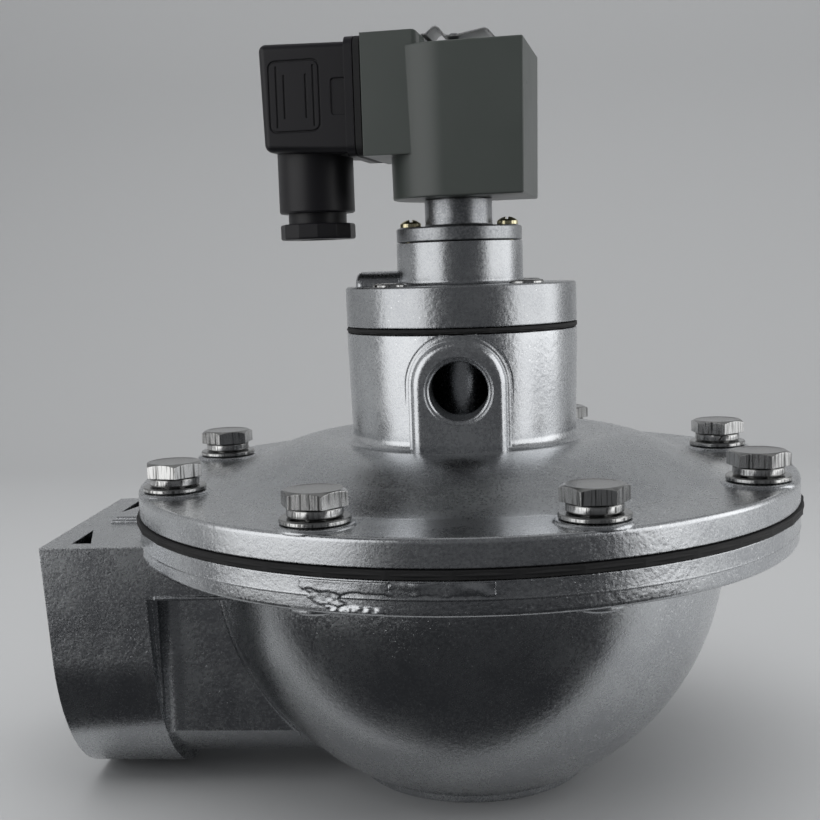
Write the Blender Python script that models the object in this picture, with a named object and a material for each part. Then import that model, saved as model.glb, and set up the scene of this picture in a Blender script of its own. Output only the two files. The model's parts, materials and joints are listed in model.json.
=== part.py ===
"""Right-angle, double-diaphragm pulse valve with a solenoid pilot, for a dust collector.

Compressed air waits around the outlet tube inside the bowl. The coil lifts the plunger, which
empties the chamber under the lid. The pilot diaphragm then lifts and opens the chamber under the
cover to the exhaust hole, so the main diaphragm springs open and sends one pulse down the outlet.

Frame: metres, +Z up. The outlet face stands on z = 0 and the inlet faces -X. The origin is under
the middle of the valve's length, and the valve's own axis lies at x = AXIS_X.
"""

import math

import bmesh
import bpy
from mathutils import Matrix, Vector

MM = 0.001

# Clearances
FIT_GAP = 0.25 * MM         # between faces that rest on each other
RUN_GAP = 0.2 * MM          # radial play of what slides or turns
OVERCUT = 1.0 * MM          # how far a cutter stands out of what it cuts

# Steps round a full turn
BIG_STEPS = 40
MID_STEPS = 24
SMALL_STEPS = 12
SPRING_STEPS = 10
WIRE_STEPS = 5

# Bowl and outlet: the bowl follows the pipe thread, the flanges and the boss follow the bowl
THREAD_R = 23.9 * MM        # one and a half inch pipe thread
BOWL_ROOM = 19.2 * MM       # room left beside the two ports
BOWL_R = 2 * THREAD_R + BOWL_ROOM
BOWL_DROP = 10.5 * MM       # gasket plane down to the bowl's centre
OUTLET_CUT = 5.5 * MM       # what the outlet face cuts off the bowl's ball
GASKET_HEIGHT = BOWL_R - OUTLET_CUT + BOWL_DROP  # outlet face to the main diaphragm's rim
BODY_WALL = 5.0 * MM
THREAD_DEPTH = 24.0 * MM
THREAD_CHAMFER = 1.5 * MM
THREAD_STEP = 3.9 * MM      # from the thread in to the bore
BORE_R = THREAD_R - THREAD_STEP
PORT_WALL = 6.8 * MM
PORT_OUTER_R = THREAD_R + PORT_WALL
SEAT_DROP = 6.0 * MM        # gasket plane down to the main seat
SEAT_LAND = 2.2 * MM
TUBE_WALL = 5.0 * MM

# Main flange joint
BOLT_INSET = 9.6 * MM       # bowl's side to the bolt circle
BOLT_EDGE = 8.6 * MM        # bolt circle to the flange's edge
RUBBER_PROUD = 0.8 * MM     # diaphragm past the flange
BOLT_CIRCLE_R = BOWL_R + BOLT_INSET
FLANGE_R = BOLT_CIRCLE_R + BOLT_EDGE
DIAPHRAGM_R = FLANGE_R + RUBBER_PROUD
DIAPHRAGM_T = 1.8 * MM
BODY_FLANGE_T = 7.9 * MM
COVER_RIM_T = 6.3 * MM
RIM_ROUND = 1.0 * MM
FLANGE_FILLET = 3.0 * MM
CHAMBER_INSET = 6.0 * MM
CHAMBER_R = BOWL_R - CHAMBER_INSET

# Hexagon bolts, M8
BOLT_COUNT = 8
BOLT_R = 4.0 * MM
BOLT_LENGTH = 21.6 * MM
HEAD_ACROSS_FLATS = 13.0 * MM
HEAD_H = 3.1 * MM            # low heads
WASHER_R = 8.0 * MM
WASHER_T = 1.5 * MM
SPRING_WASHER_R = 6.5 * MM
SPRING_WASHER_T = 1.9 * MM
SPRING_WASHER_GAP = 14.0    # degrees left open at the split
HEAD_TURNS = (35.8, 57.0, 42.0, 25.2, 46.6, 50.5, 3.8, 43.3)  # how each head came to rest
SPLIT_TURNS = (60.0, 100.0, 40.0, 150.0, -84.0, -112.0, -30.0, -78.6)
SEAT_PAD_R = 9.0 * MM
SEAT_PAD_H = 0.3 * MM
THREAD_NUB_R = 6.2 * MM
THREAD_NUB_H = 1.6 * MM

# Inlet boss and its neck
BOSS_STANDOFF = 38.0 * MM   # bowl's side to the inlet face
INLET_REACH = BOWL_R + BOSS_STANDOFF  # valve axis to the inlet face
INLET_LIFT = 4.3 * MM       # outlet face up to the inlet port's outside
INLET_HEIGHT = PORT_OUTER_R + INLET_LIFT
BOSS_LENGTH = 27.0 * MM
BOSS_CHEEK = 2.4 * MM
BOSS_HALF_W = PORT_OUTER_R + BOSS_CHEEK
BOSS_LEAN = 0.06            # the end face leans in by this share of the way down
BELLY_RISE = 2.9 * MM       # inlet's axis up to where the belly starts
BELLY_BOTTOM = 1.1 * MM
BOSS_TOP_DROP = 5.3 * MM    # gasket plane down to the boss's flat top
BOSS_EDGE = 0.8 * MM
SLAB_T = 13.4 * MM
NECK_WALL = 4.5 * MM
NECK_STOP = 8.0 * MM        # neck's end to the outlet tube, inside the bowl
NECK_HALF_W = BORE_R + NECK_WALL
NECK_FILLET = 4.0 * MM
POCKET_WALL = 6.6 * MM
POCKET_SIDE_WALL = 5.0 * MM
POCKET_W = 5.0 * MM
POCKET_L = 16.5 * MM
POCKET_DEPTH = 8.0 * MM
RIDGE_Y = 5.0 * MM
RIDGE_W = 1.2 * MM
RIDGE_H = 0.8 * MM
RIDGE_L = 9.0 * MM

# Radii of the pilot, from the armature tube outwards
STEM_TUBE_R = 6.75 * MM
STEM_NECK_WALL = 2.0 * MM
STEM_NECK_R = STEM_TUBE_R + STEM_NECK_WALL
STEM_SCREW_INSET = 3.85 * MM
STEM_SCREW_CIRCLE_R = STEM_NECK_R + STEM_SCREW_INSET
STEM_SCREW_EDGE = 3.7 * MM
STEM_FLANGE_R = STEM_SCREW_CIRCLE_R + STEM_SCREW_EDGE
TURRET_PROUD = 0.1 * MM
TURRET_R = STEM_FLANGE_R + TURRET_PROUD
LID_SCREW_INSET = 7.6 * MM
LID_SCREW_CIRCLE_R = TURRET_R + LID_SCREW_INSET

# Pilot body on the cover
PILOT_RISE = 45.4 * MM      # main diaphragm up to the pilot diaphragm
PILOT_GASKET_HEIGHT = GASKET_HEIGHT + PILOT_RISE
PILOT_EDGE = 6.0 * MM       # lid screws' circle to the pilot body's side
PILOT_R = LID_SCREW_CIRCLE_R + PILOT_EDGE
PILOT_FOOT_IN = 0.6 * MM
PILOT_FOOT_R = PILOT_R - PILOT_FOOT_IN
PILOT_FOOT_FILLET = 2.2 * MM
PILOT_FOOT_SINK = 0.8 * MM  # foot of the pilot body below the crown
PILOT_CHAMBER_WALL = 11.5 * MM
PILOT_CHAMBER_R = PILOT_R - PILOT_CHAMBER_WALL
PILOT_FLOOR_DROP = 22.0 * MM
PILOT_TUBE_R = 9.5 * MM
PILOT_BORE_R = 6.5 * MM
PILOT_SEAT_DROP = 3.2 * MM
PAD_HALF_W = 11.6 * MM
PAD_ARCH_RISE = 1.1 * MM    # the arch's centre above the hole's
PAD_PROUD = 1.0 * MM
PAD_REACH = PILOT_R + PAD_PROUD
PAD_ROUND = 2.4 * MM
EXHAUST_R = 7.1 * MM
EXHAUST_CHAMFER = 1.2 * MM
EXHAUST_DROP = 14.3 * MM    # pilot gasket plane down to the exhaust's axis

# Cover dome
DOME_OVER = 1.0 * MM        # dome past the bowl
DOME_R = BOWL_R + DOME_OVER
CROWN_EDGE = 8.0 * MM       # level crown round the pilot body
CROWN_R = PILOT_R + CROWN_EDGE
CROWN_H = 9.6 * MM          # rim's flat top up to the crown
DOME_RIM_SLOPE = 0.24
COVER_WALL = 6.0 * MM
MAIN_SPRING_SEAT_R = 22.0 * MM

# Main valve inside
SEAT_DISC_OVER = 7.0 * MM   # seat disc past the bore
MAIN_SEAT_DISC_R = BORE_R + SEAT_DISC_OVER
MAIN_SEAT_DISC_T = 2.6 * MM
MAIN_PLATE_INSET = 19.0 * MM
MAIN_PLATE_R = CHAMBER_R - MAIN_PLATE_INSET
MAIN_PLATE_T = 2.2 * MM
MAIN_ROLL_H = 3.6 * MM
CENTRE_BOLT_R = 4.0 * MM
CENTRE_HEAD_R = 7.5 * MM
CENTRE_HEAD_T = 3.0 * MM
CENTRE_NUT_T = 3.4 * MM
MAIN_SPRING_R = 19.0 * MM
MAIN_SPRING_TOP_R = 10.6 * MM  # conical, so that it closes flat
MAIN_SPRING_WIRE = 1.6 * MM
MAIN_SPRING_TURNS = 3.5

# Pilot valve inside
PILOT_RUBBER_PROUD = 0.1 * MM
PILOT_DIAPHRAGM_R = PILOT_R + PILOT_RUBBER_PROUD
PILOT_DIAPHRAGM_T = 1.1 * MM
PILOT_ROLL_H = 1.4 * MM
PILOT_PLATE_R = 11.5 * MM
PILOT_PLATE_T = 1.4 * MM
PILOT_RIVET_R = 2.0 * MM
PILOT_RIVET_HEAD_R = 3.8 * MM
PILOT_RIVET_HEAD_T = 1.2 * MM
PILOT_SPRING_R = 6.5 * MM
PILOT_SPRING_WIRE = 0.9 * MM
PILOT_SPRING_TURNS = 3.5

# Lid
LID_T = 10.1 * MM
LID_EDGE = 0.4 * MM
LID_RECESS = 3.7 * MM
SPRING_POCKET_R = 8.5 * MM
SPRING_POCKET_DEPTH = 6.8 * MM
TURRET_H = 10.8 * MM
TURRET_FILLET = 1.2 * MM
PLUNGER_WELL_R = 6.2 * MM
PLUNGER_WELL_DEPTH = 8.9 * MM
ORIFICE_R = 1.0 * MM
NIPPLE_R = 2.4 * MM
NIPPLE_H = 1.2 * MM
RIB_R = 5.0 * MM
RIB_REACH = 27.2 * MM
RIB_TOP = 3.9 * MM          # above the lid's top
RIB_END_ROUND = 1.8 * MM

# Lid screws, M5 cheese head
LID_SCREW_COUNT = 4
LID_SCREW_R = 2.5 * MM
LID_SCREW_LENGTH = 17.0 * MM
LID_HEAD_R = 4.25 * MM
LID_HEAD_T = 3.0 * MM
LID_HEAD_SINK = 2.0 * MM
SLOT_W = 1.2 * MM
SLOT_DEPTH = 0.9 * MM

# Stem: armature tube with its flange
STEM_FLANGE_T = 3.65 * MM
STEM_NECK_H = 7.0 * MM
STEM_BORE_R = 5.1 * MM
STEM_BORE_DEPTH = 33.0 * MM
STEM_TIP_R = 1.6 * MM
STEM_TIP_H = 4.3 * MM       # above the coil's top
STEM_TIP_CHAMFER = 0.6 * MM
CLIP_GROOVE_R = 1.1 * MM
SEAL_RING_R = 8.1 * MM
SEAL_WIRE_R = 0.75 * MM
SEAL_GROOVE_W = 2.2 * MM
SEAL_GROOVE_DEPTH = 1.6 * MM
STEM_SCREW_R = 1.5 * MM
STEM_SCREW_LENGTH = 9.0 * MM
STEM_HEAD_R = 2.75 * MM
STEM_HEAD_T = 2.2 * MM

# Plunger
PLUNGER_LENGTH = 29.0 * MM
PLUNGER_SEAL_R = 3.0 * MM
PLUNGER_SEAL_T = 2.0 * MM
PLUNGER_SPRING_R = 3.2 * MM
PLUNGER_SPRING_WIRE = 0.8 * MM
PLUNGER_SPRING_TURNS = 5.0

# Coil, turned about the stem
COIL_TURN = -7.4            # degrees about +Z
COIL_H = 37.4 * MM
COIL_R = 17.4 * MM
COIL_HALF_W = 16.8 * MM     # its flats cut the round a little
COIL_DRAFT = 0.6 * MM       # how much smaller all round it is at the bottom
COIL_REACH = 19.6 * MM      # stem axis to the flat side away from the connector
COIL_EDGE = 0.4 * MM
BLOCK_REACH = 21.5 * MM     # stem axis to the connector's face
BLOCK_HALF_W = 14.0 * MM
BLOCK_END = 6.4 * MM        # stem axis to the block's inner end
BLOCK_H = 30.2 * MM
BLOCK_RISE = 3.7 * MM       # block's top above the coil's top
BLOCK_ROUND = 2.4 * MM

# Coil clip, bent from strip
CLIP_T = 0.5 * MM
CLIP_HALF_W = 5.5 * MM
CLIP_LEG_X = 7.8 * MM       # distances from the stem axis, towards the connector
CLIP_LEDGE_X = 6.0 * MM
CLIP_PEAK_X = 3.9 * MM
CLIP_FLAT_X = 1.8 * MM
CLIP_TAB_X = 8.9 * MM       # and away from it
CLIP_TAB_BEND = 1.6 * MM
CLIP_TAB_END = 3.3 * MM
CLIP_FLAT_H = 2.7 * MM      # heights of its underside above the coil's top
CLIP_LEG_H = 3.4 * MM
CLIP_PEAK_H = 5.3 * MM
CLIP_TAB_H = 3.9 * MM
CLIP_TAB_BEND_H = 2.3 * MM
CLIP_WELL_GAP = 1.2 * MM

# Plug connector, 28 mm square
PLUG_GASKET_T = 1.6 * MM
PLUG_HALF_W = 14.0 * MM
PLUG_H = 29.8 * MM
PLUG_CORNER = 3.0 * MM
HOUSING_RIM_T = 2.2 * MM
HOUSING_L = 22.7 * MM
HOUSING_HALF_W = 13.5 * MM
HOUSING_TOP_STEP = 1.3 * MM  # rim down to the housing's top
HOUSING_LOW_STEP = 0.8 * MM  # rim up to the housing's underside
HOUSING_TAPER = 1.2 * MM     # its underside rises towards the end
HOUSING_RISE = 0.6 * MM      # and so does its top
HOUSING_DRAFT = 0.7 * MM     # its end leans in towards the gland
HOUSING_WALL = 2.2 * MM
HOUSING_ROUND = 2.0 * MM
GLAND_R = 10.0 * MM
GLAND_INSET = 10.5 * MM     # housing's end to the gland's axis
GLAND_DROP = 15.35 * MM     # barrel below the housing's rim end
GLAND_NECK_R = 7.7 * MM
GLAND_BORE_R = 6.6 * MM
GLAND_NECK_DROP = 5.5 * MM
NUT_R = 9.9 * MM
NUT_H = 4.1 * MM
NUT_GAP = 2.8 * MM          # neck left bare above the nut
NUT_FACETS = 12
CABLE_HOLE_R = 4.6 * MM
NUT_LIP = 1.0 * MM
GROMMET_H = 3.6 * MM
CARRIER_INSET = 9.0 * MM
BLADE_W = 6.3 * MM
BLADE_T = 0.9 * MM
BLADE_L = 8.0 * MM
BLADE_PITCH = 8.0 * MM
PLUG_SCREW_R = 1.5 * MM
PLUG_SCREW_HEAD_R = 2.9 * MM
PLUG_SCREW_HEAD_T = 2.2 * MM

# Heights and places that follow
AXIS_X = (INLET_REACH - DIAPHRAGM_R) / 2
BODY_TOP = GASKET_HEIGHT - DIAPHRAGM_T / 2 - FIT_GAP
COVER_BOTTOM = GASKET_HEIGHT + DIAPHRAGM_T / 2 + FIT_GAP
BODY_FLANGE_BOTTOM = BODY_TOP - BODY_FLANGE_T
COVER_RIM_TOP = COVER_BOTTOM + COVER_RIM_T
CROWN_TOP = COVER_RIM_TOP + CROWN_H
BOWL_Z = GASKET_HEIGHT - BOWL_DROP
SEAT_Z = GASKET_HEIGHT - SEAT_DROP
BOSS_TOP = GASKET_HEIGHT - BOSS_TOP_DROP
PILOT_TOP = PILOT_GASKET_HEIGHT - PILOT_DIAPHRAGM_T / 2 - FIT_GAP
LID_BOTTOM = PILOT_GASKET_HEIGHT + PILOT_DIAPHRAGM_T / 2 + FIT_GAP
LID_TOP = LID_BOTTOM + LID_T
TURRET_TOP = LID_TOP + TURRET_H
WELL_FLOOR = TURRET_TOP - PLUNGER_WELL_DEPTH
NIPPLE_TOP = WELL_FLOOR + NIPPLE_H
PILOT_SEAT_Z = PILOT_TOP - PILOT_SEAT_DROP
PILOT_FLOOR_Z = PILOT_TOP - PILOT_FLOOR_DROP
EXHAUST_Z = PILOT_GASKET_HEIGHT - EXHAUST_DROP
STEM_BOTTOM = TURRET_TOP + FIT_GAP
STEM_FLANGE_TOP = STEM_BOTTOM + STEM_FLANGE_T
COIL_BOTTOM = STEM_FLANGE_TOP + STEM_NECK_H + FIT_GAP
COIL_TOP = COIL_BOTTOM + COIL_H
BLOCK_TOP = COIL_TOP + BLOCK_RISE
BLOCK_BOTTOM = BLOCK_TOP - BLOCK_H
PLUG_Z = (BLOCK_TOP + BLOCK_BOTTOM) / 2
COVER_INNER_TOP = CROWN_TOP - COVER_WALL + PILOT_FOOT_SINK / 2

MATERIALS = {
    "cast_aluminium": ((0.52, 0.53, 0.54), 0.42, 1.0),
    "cover_aluminium": ((0.48, 0.49, 0.50), 0.45, 1.0),
    "machined_aluminium": ((0.62, 0.63, 0.64), 0.30, 1.0),
    "diaphragm_rubber": ((0.012, 0.012, 0.013), 0.75, 0.0),
    "zinc_steel": ((0.56, 0.57, 0.58), 0.25, 1.0),
    "yellow_zinc_steel": ((0.55, 0.42, 0.20), 0.35, 1.0),
    "spring_steel": ((0.35, 0.35, 0.36), 0.30, 1.0),
    "stainless_steel": ((0.50, 0.50, 0.50), 0.28, 1.0),
    "seat_polymer": ((0.06, 0.06, 0.07), 0.55, 0.0),
    "coil_resin": ((0.10, 0.115, 0.11), 0.60, 0.0),
    "plug_nylon": ((0.018, 0.018, 0.022), 0.40, 0.0),
    "contact_brass": ((0.60, 0.44, 0.20), 0.30, 1.0),
}


def clear_scene():
    for obj in list(bpy.data.objects):
        bpy.data.objects.remove(obj, do_unlink=True)


def material(name):
    found = bpy.data.materials.get(name)
    if found:
        return found
    colour, roughness, metallic = MATERIALS[name]
    made = bpy.data.materials.new(name)
    made.use_nodes = True
    shader = made.node_tree.nodes["Principled BSDF"]
    shader.inputs["Base Color"].default_value = (*colour, 1.0)
    shader.inputs["Roughness"].default_value = roughness
    shader.inputs["Metallic"].default_value = metallic
    return made


def add_empty(name, location, parent=None, turn=0.0):
    empty = bpy.data.objects.new(name, None)
    bpy.context.scene.collection.objects.link(empty)
    empty.location = location
    empty.rotation_euler = (0.0, 0.0, math.radians(turn))
    empty.parent = parent
    return empty


def add_object(name, bm, material_name, parent=None, location=(0.0, 0.0, 0.0), smooth=35.0):
    """Turn a bmesh into a named object, with its faces pointing out."""
    bmesh.ops.recalc_face_normals(bm, faces=bm.faces)
    mesh = bpy.data.meshes.new(name)
    bm.to_mesh(mesh)
    bm.free()
    if smooth:
        mesh.shade_smooth()
        mesh.set_sharp_from_angle(angle=math.radians(smooth))
    if material_name:
        mesh.materials.append(material(material_name))
    obj = bpy.data.objects.new(name, mesh)
    bpy.context.scene.collection.objects.link(obj)
    obj.location = location
    obj.parent = parent
    return obj


def copy_object(source, name, location, turn=0.0):
    twin = bpy.data.objects.new(name, source.data)
    bpy.context.scene.collection.objects.link(twin)
    twin.location = location
    twin.rotation_euler = (0.0, 0.0, math.radians(turn))
    twin.parent = source.parent
    return twin


def boolean(target, bm, operation, name):
    """Cut a shape out of the target, or join it on, with a hidden helper object."""
    helper = add_object(name, bm, None, target.parent, target.location)
    helper.hide_render = True
    helper.display_type = "WIRE"
    modifier = target.modifiers.new(name, "BOOLEAN")
    modifier.operation = operation
    modifier.solver = "EXACT"
    modifier.object = helper


def cut(target, bm, name):
    boolean(target, bm, "DIFFERENCE", "cut_" + name)


def join(target, bm, name):
    boolean(target, bm, "UNION", "join_" + name)


def arc(centre_r, centre_z, radius, start, end, steps):
    """Points of a fillet in a profile, from one angle to another, in degrees."""
    angles = [math.radians(start + (end - start) * i / steps) for i in range(steps + 1)]
    return [(centre_r + radius * math.cos(a), centre_z + radius * math.sin(a)) for a in angles]


def turned(profile, steps):
    """Revolve a closed (radius, height) outline about Z."""
    bm = bmesh.new()
    verts = [bm.verts.new((r, 0.0, z)) for r, z in profile]
    ring = list(zip(verts, verts[1:] + verts[:1]))
    edges = [bm.edges.new(pair) for pair in ring if pair[0].co.x > 0 or pair[1].co.x > 0]
    bmesh.ops.spin(bm, geom=verts + edges, axis=(0, 0, 1), cent=(0, 0, 0),
                   angle=math.tau, steps=steps, use_merge=True)
    bmesh.ops.remove_doubles(bm, verts=bm.verts, dist=1e-7)
    bmesh.ops.dissolve_degenerate(bm, edges=bm.edges, dist=1e-8)
    return bm


def prism(outline, start, end, axis="Z"):
    """Extrude a closed 2-D outline from one level to another along an axis.

    The outline's two numbers are (x, y) for Z, (y, z) for X and (x, z) for Y.
    """
    place = {
        "Z": lambda a, b: (a, b, start),
        "X": lambda a, b: (start, a, b),
        "Y": lambda a, b: (a, start, b),
    }[axis]
    along = {"Z": Vector((0, 0, 1)), "X": Vector((1, 0, 0)), "Y": Vector((0, 1, 0))}[axis]
    bm = bmesh.new()
    face = bm.faces.new([bm.verts.new(place(a, b)) for a, b in outline])
    grown = bmesh.ops.extrude_face_region(bm, geom=[face])
    moved = [v for v in grown["geom"] if isinstance(v, bmesh.types.BMVert)]
    bmesh.ops.translate(bm, verts=moved, vec=along * (end - start))
    return bm


def block(low, high):
    outline = [(low[0], low[1]), (high[0], low[1]), (high[0], high[1]), (low[0], high[1])]
    return prism(outline, low[2], high[2])


def rod(radius, start, end, steps, axis="Z", centre=(0.0, 0.0)):
    """A plain round bar along an axis, its centre given in the outline's two numbers."""
    angles = [math.tau * (i + 0.5) / steps for i in range(steps)]
    outline = [(centre[0] + radius * math.cos(a), centre[1] + radius * math.sin(a)) for a in angles]
    return prism(outline, start, end, axis)


def loft(sections):
    """Skin closed sections with equal point counts, and close both ends."""
    bm = bmesh.new()
    rings = [[bm.verts.new(point) for point in section] for section in sections]
    for ring, following in zip(rings, rings[1:]):
        for i in range(len(ring)):
            k = (i + 1) % len(ring)
            bm.faces.new((ring[i], ring[k], following[k], following[i]))
    bm.faces.new(rings[0])
    bm.faces.new(rings[-1])
    return bm


def bevel_edges(bm, width, segments, wanted):
    """Round the edges that the test picks."""
    edges = [edge for edge in bm.edges if wanted(edge)]
    bmesh.ops.bevel(bm, geom=edges, offset=width, offset_type="OFFSET", segments=segments,
                    profile=0.5, affect="EDGES", clamp_overlap=True)
    return bm


def edge_along(edge, axis):
    """True for an edge that runs along the axis with this index."""
    run = edge.verts[1].co - edge.verts[0].co
    return abs(run[axis]) > 0.999 * run.length


def ring_places(count, radius, first_angle):
    """Places evenly spaced on a circle about Z, each with its angle in degrees."""
    places = []
    for i in range(count):
        angle = first_angle + 360.0 * i / count
        places.append((radius * math.cos(math.radians(angle)),
                       radius * math.sin(math.radians(angle)), angle))
    return places


def bolt_places():
    return ring_places(BOLT_COUNT, BOLT_CIRCLE_R, 180.0 / BOLT_COUNT)


def lid_screw_places():
    return ring_places(LID_SCREW_COUNT, LID_SCREW_CIRCLE_R, 180.0 / LID_SCREW_COUNT)


def cut_rods(target, places, radius, start, end, steps, name):
    """Drill a hole of one size at each place, from one height to another."""
    for number, (x, y, angle) in enumerate(places, 1):
        cut(target, rod(radius, start, end, steps, centre=(x, y)), f"{name}_{number}")


def helix(name, low_r, high_r, wire, bottom, top, turns, material_name, parent):
    """A coil spring: round wire on a helix between two levels and from one radius to another."""
    rise = top - bottom - wire
    count = int(turns * SPRING_STEPS)
    sections = []
    for i in range(count + 1):
        angle = math.tau * turns * i / count
        height = bottom + wire / 2 + rise * i / count
        radius = low_r + (high_r - low_r) * i / count
        ring = []
        for k in range(WIRE_STEPS):
            turn = math.tau * k / WIRE_STEPS
            reach = radius + wire / 2 * math.cos(turn)
            ring.append((reach * math.cos(angle), reach * math.sin(angle), height + wire / 2 * math.sin(turn)))
        sections.append(ring)
    return add_object(name, loft(sections), material_name, parent, smooth=70.0)


def bowl_outline():
    """Outer profile of the body: outlet ring, bowl and flange, as a solid of revolution."""
    ring_top = BOWL_Z - math.sqrt(BOWL_R ** 2 - PORT_OUTER_R ** 2)
    start = math.degrees(math.atan2(ring_top - BOWL_Z, PORT_OUTER_R))
    neck_z = BODY_FLANGE_BOTTOM - FLANGE_FILLET
    end = math.degrees(math.asin((neck_z - BOWL_Z) / BOWL_R))
    neck_r = BOWL_R * math.cos(math.radians(end))
    points = [(0.0, 0.0), (PORT_OUTER_R, 0.0)]
    points += arc(0.0, BOWL_Z, BOWL_R, start, end, 12)
    points += arc(neck_r + FLANGE_FILLET, neck_z, FLANGE_FILLET, 180.0, 90.0, 3)[1:]
    points += arc(FLANGE_R - RIM_ROUND, BODY_FLANGE_BOTTOM + RIM_ROUND, RIM_ROUND, -90.0, 0.0, 2)
    points += [(FLANGE_R, BODY_TOP), (0.0, BODY_TOP)]
    return points


def cavity_outline():
    """The pressure chamber round the outlet tube."""
    inner = BOWL_R - BODY_WALL
    tube_r = BORE_R + TUBE_WALL
    floor = BOWL_Z - math.sqrt(inner ** 2 - tube_r ** 2)
    start = math.degrees(math.atan2(floor - BOWL_Z, tube_r))
    points = arc(0.0, BOWL_Z, inner, start, 0.0, 10)
    points += [(inner, BODY_TOP + OVERCUT), (0.0, BODY_TOP + OVERCUT), (0.0, SEAT_Z)]
    points += [(BORE_R + SEAT_LAND, SEAT_Z), (tube_r, SEAT_Z - 2 * SEAT_LAND)]
    return points


def boss_section(x, lean, shrink):
    """Cross-section of the inlet boss: flat top, straight sides and a round belly."""
    half_w = BOSS_HALF_W - shrink
    top = BOSS_TOP - shrink
    start = INLET_HEIGHT + BELLY_RISE
    depth = start - BELLY_BOTTOM - shrink
    outline = [(half_w, top), (-half_w, top)]
    outline += [(half_w * math.cos(math.radians(a)), start + depth * math.sin(math.radians(a)))
                for a in range(180, 361, 15)]
    return [(x + lean * (BOSS_TOP - z), y, z) for y, z in outline]


def neck_section(x, grow):
    """Cross-section of the neck: flat cheeks on a round belly, grown for the fillet at the boss."""
    half_w = NECK_HALF_W + grow
    radius = PORT_OUTER_R + grow * 0.5
    edge = math.degrees(math.asin(half_w / radius))
    angles = [-90.0 - edge + 2 * edge * i / 8 for i in range(9)]
    top = BOSS_TOP - SLAB_T / 2
    points = [(x, half_w, top), (x, -half_w, top)]
    points += [(x, radius * math.cos(math.radians(a)), INLET_HEIGHT + radius * math.sin(math.radians(a)))
               for a in angles]
    return points


def port_cutter(mouth, depth, bore_end):
    """Turned cutter for a threaded port: chamfered mouth, thread and bore, along +Z from the mouth."""
    outside = mouth - 3 * OVERCUT
    profile = [(0.0, outside), (THREAD_R + THREAD_CHAMFER, outside), (THREAD_R + THREAD_CHAMFER, mouth),
               (THREAD_R, mouth + THREAD_CHAMFER),
               (THREAD_R, mouth + depth - 2 * MM), (BORE_R, mouth + depth), (BORE_R, bore_end),
               (0.0, bore_end)]
    return turned(profile, MID_STEPS)


def valve_body(parent):
    body = add_object("valve_body", turned(bowl_outline(), BIG_STEPS), "cast_aluminium", parent)
    inner_x = -INLET_REACH + BOSS_LENGTH

    rounds = [(-INLET_REACH + BOSS_EDGE * (1 - math.cos(math.radians(a))),
               BOSS_EDGE * (1 - math.sin(math.radians(a)))) for a in (0, 45, 90)]
    ends = [boss_section(x, BOSS_LEAN, shrink) for x, shrink in rounds]
    join(body, loft(ends + [boss_section(inner_x, 0.0, 0.0)]), "inlet_boss")
    for side in (-1, 1):
        ridge_y = side * RIDGE_Y
        ridge_x = -INLET_REACH + POCKET_WALL
        ridge = block((ridge_x, ridge_y - RIDGE_W / 2, BOSS_TOP - MM),
                      (ridge_x + RIDGE_L, ridge_y + RIDGE_W / 2, BOSS_TOP + RIDGE_H))
        join(body, ridge, "boss_ridge_" + ("front" if side < 0 else "back"))

    slab_low = (inner_x - MM, -BOSS_HALF_W, BOSS_TOP - SLAB_T)
    slab_high = (-BOWL_R * 0.75, BOSS_HALF_W, BOSS_TOP)
    join(body, block(slab_low, slab_high), "top_slab")

    steps = [(inner_x - MM, NECK_FILLET), (inner_x, NECK_FILLET)]
    steps += [(inner_x + NECK_FILLET * (1 - math.cos(math.radians(a))),
               NECK_FILLET * (1 - math.sin(math.radians(a)))) for a in (30, 60, 90)]
    steps.append((-BORE_R - TUBE_WALL - NECK_STOP, 0.0))
    join(body, loft([neck_section(x, grow) for x, grow in steps]), "inlet_neck")

    nub_bottom = BODY_FLANGE_BOTTOM - THREAD_NUB_H
    for number, (x, y, _) in enumerate(bolt_places(), 1):
        nub = rod(THREAD_NUB_R, nub_bottom, BODY_FLANGE_BOTTOM + OVERCUT, SMALL_STEPS, centre=(x, y))
        join(body, nub, f"thread_nub_{number}")

    cut(body, turned(cavity_outline(), BIG_STEPS), "pressure_chamber")
    cut(body, port_cutter(0.0, THREAD_DEPTH, SEAT_Z + OVERCUT), "outlet_port")
    mouth = -INLET_REACH + BOSS_LEAN * (BOSS_TOP - INLET_HEIGHT)
    inlet = port_cutter(mouth, THREAD_DEPTH, -BORE_R - TUBE_WALL - NECK_STOP + MM)
    bmesh.ops.rotate(inlet, verts=inlet.verts, cent=(0, 0, 0), matrix=Matrix.Rotation(math.pi / 2, 3, "Y"))
    bmesh.ops.translate(inlet, verts=inlet.verts, vec=(0, 0, INLET_HEIGHT))
    cut(body, inlet, "inlet_port")

    through = [place for place in bolt_places() if place[0] > -BOWL_R or abs(place[1]) > BOSS_HALF_W]
    blind = [place for place in bolt_places() if place not in through]
    hole_r = BOLT_R + FIT_GAP
    cut_rods(body, through, hole_r, nub_bottom - OVERCUT, BODY_TOP + OVERCUT, SMALL_STEPS, "bolt_hole")
    cut_rods(body, blind, hole_r, nub_bottom + 0.4 * MM, BODY_TOP + OVERCUT, SMALL_STEPS, "blind_hole")

    back = -INLET_REACH + POCKET_WALL
    edge = BOSS_HALF_W - POCKET_SIDE_WALL
    for side in (-1, 1):
        corner = [(back, side * edge), (back + POCKET_W, side * edge), (back, side * (edge - POCKET_L))]
        cut(body, prism(corner, BOSS_TOP - POCKET_DEPTH, BOSS_TOP + OVERCUT),
            "boss_pocket_" + ("front" if side < 0 else "back"))
    return body


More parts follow.
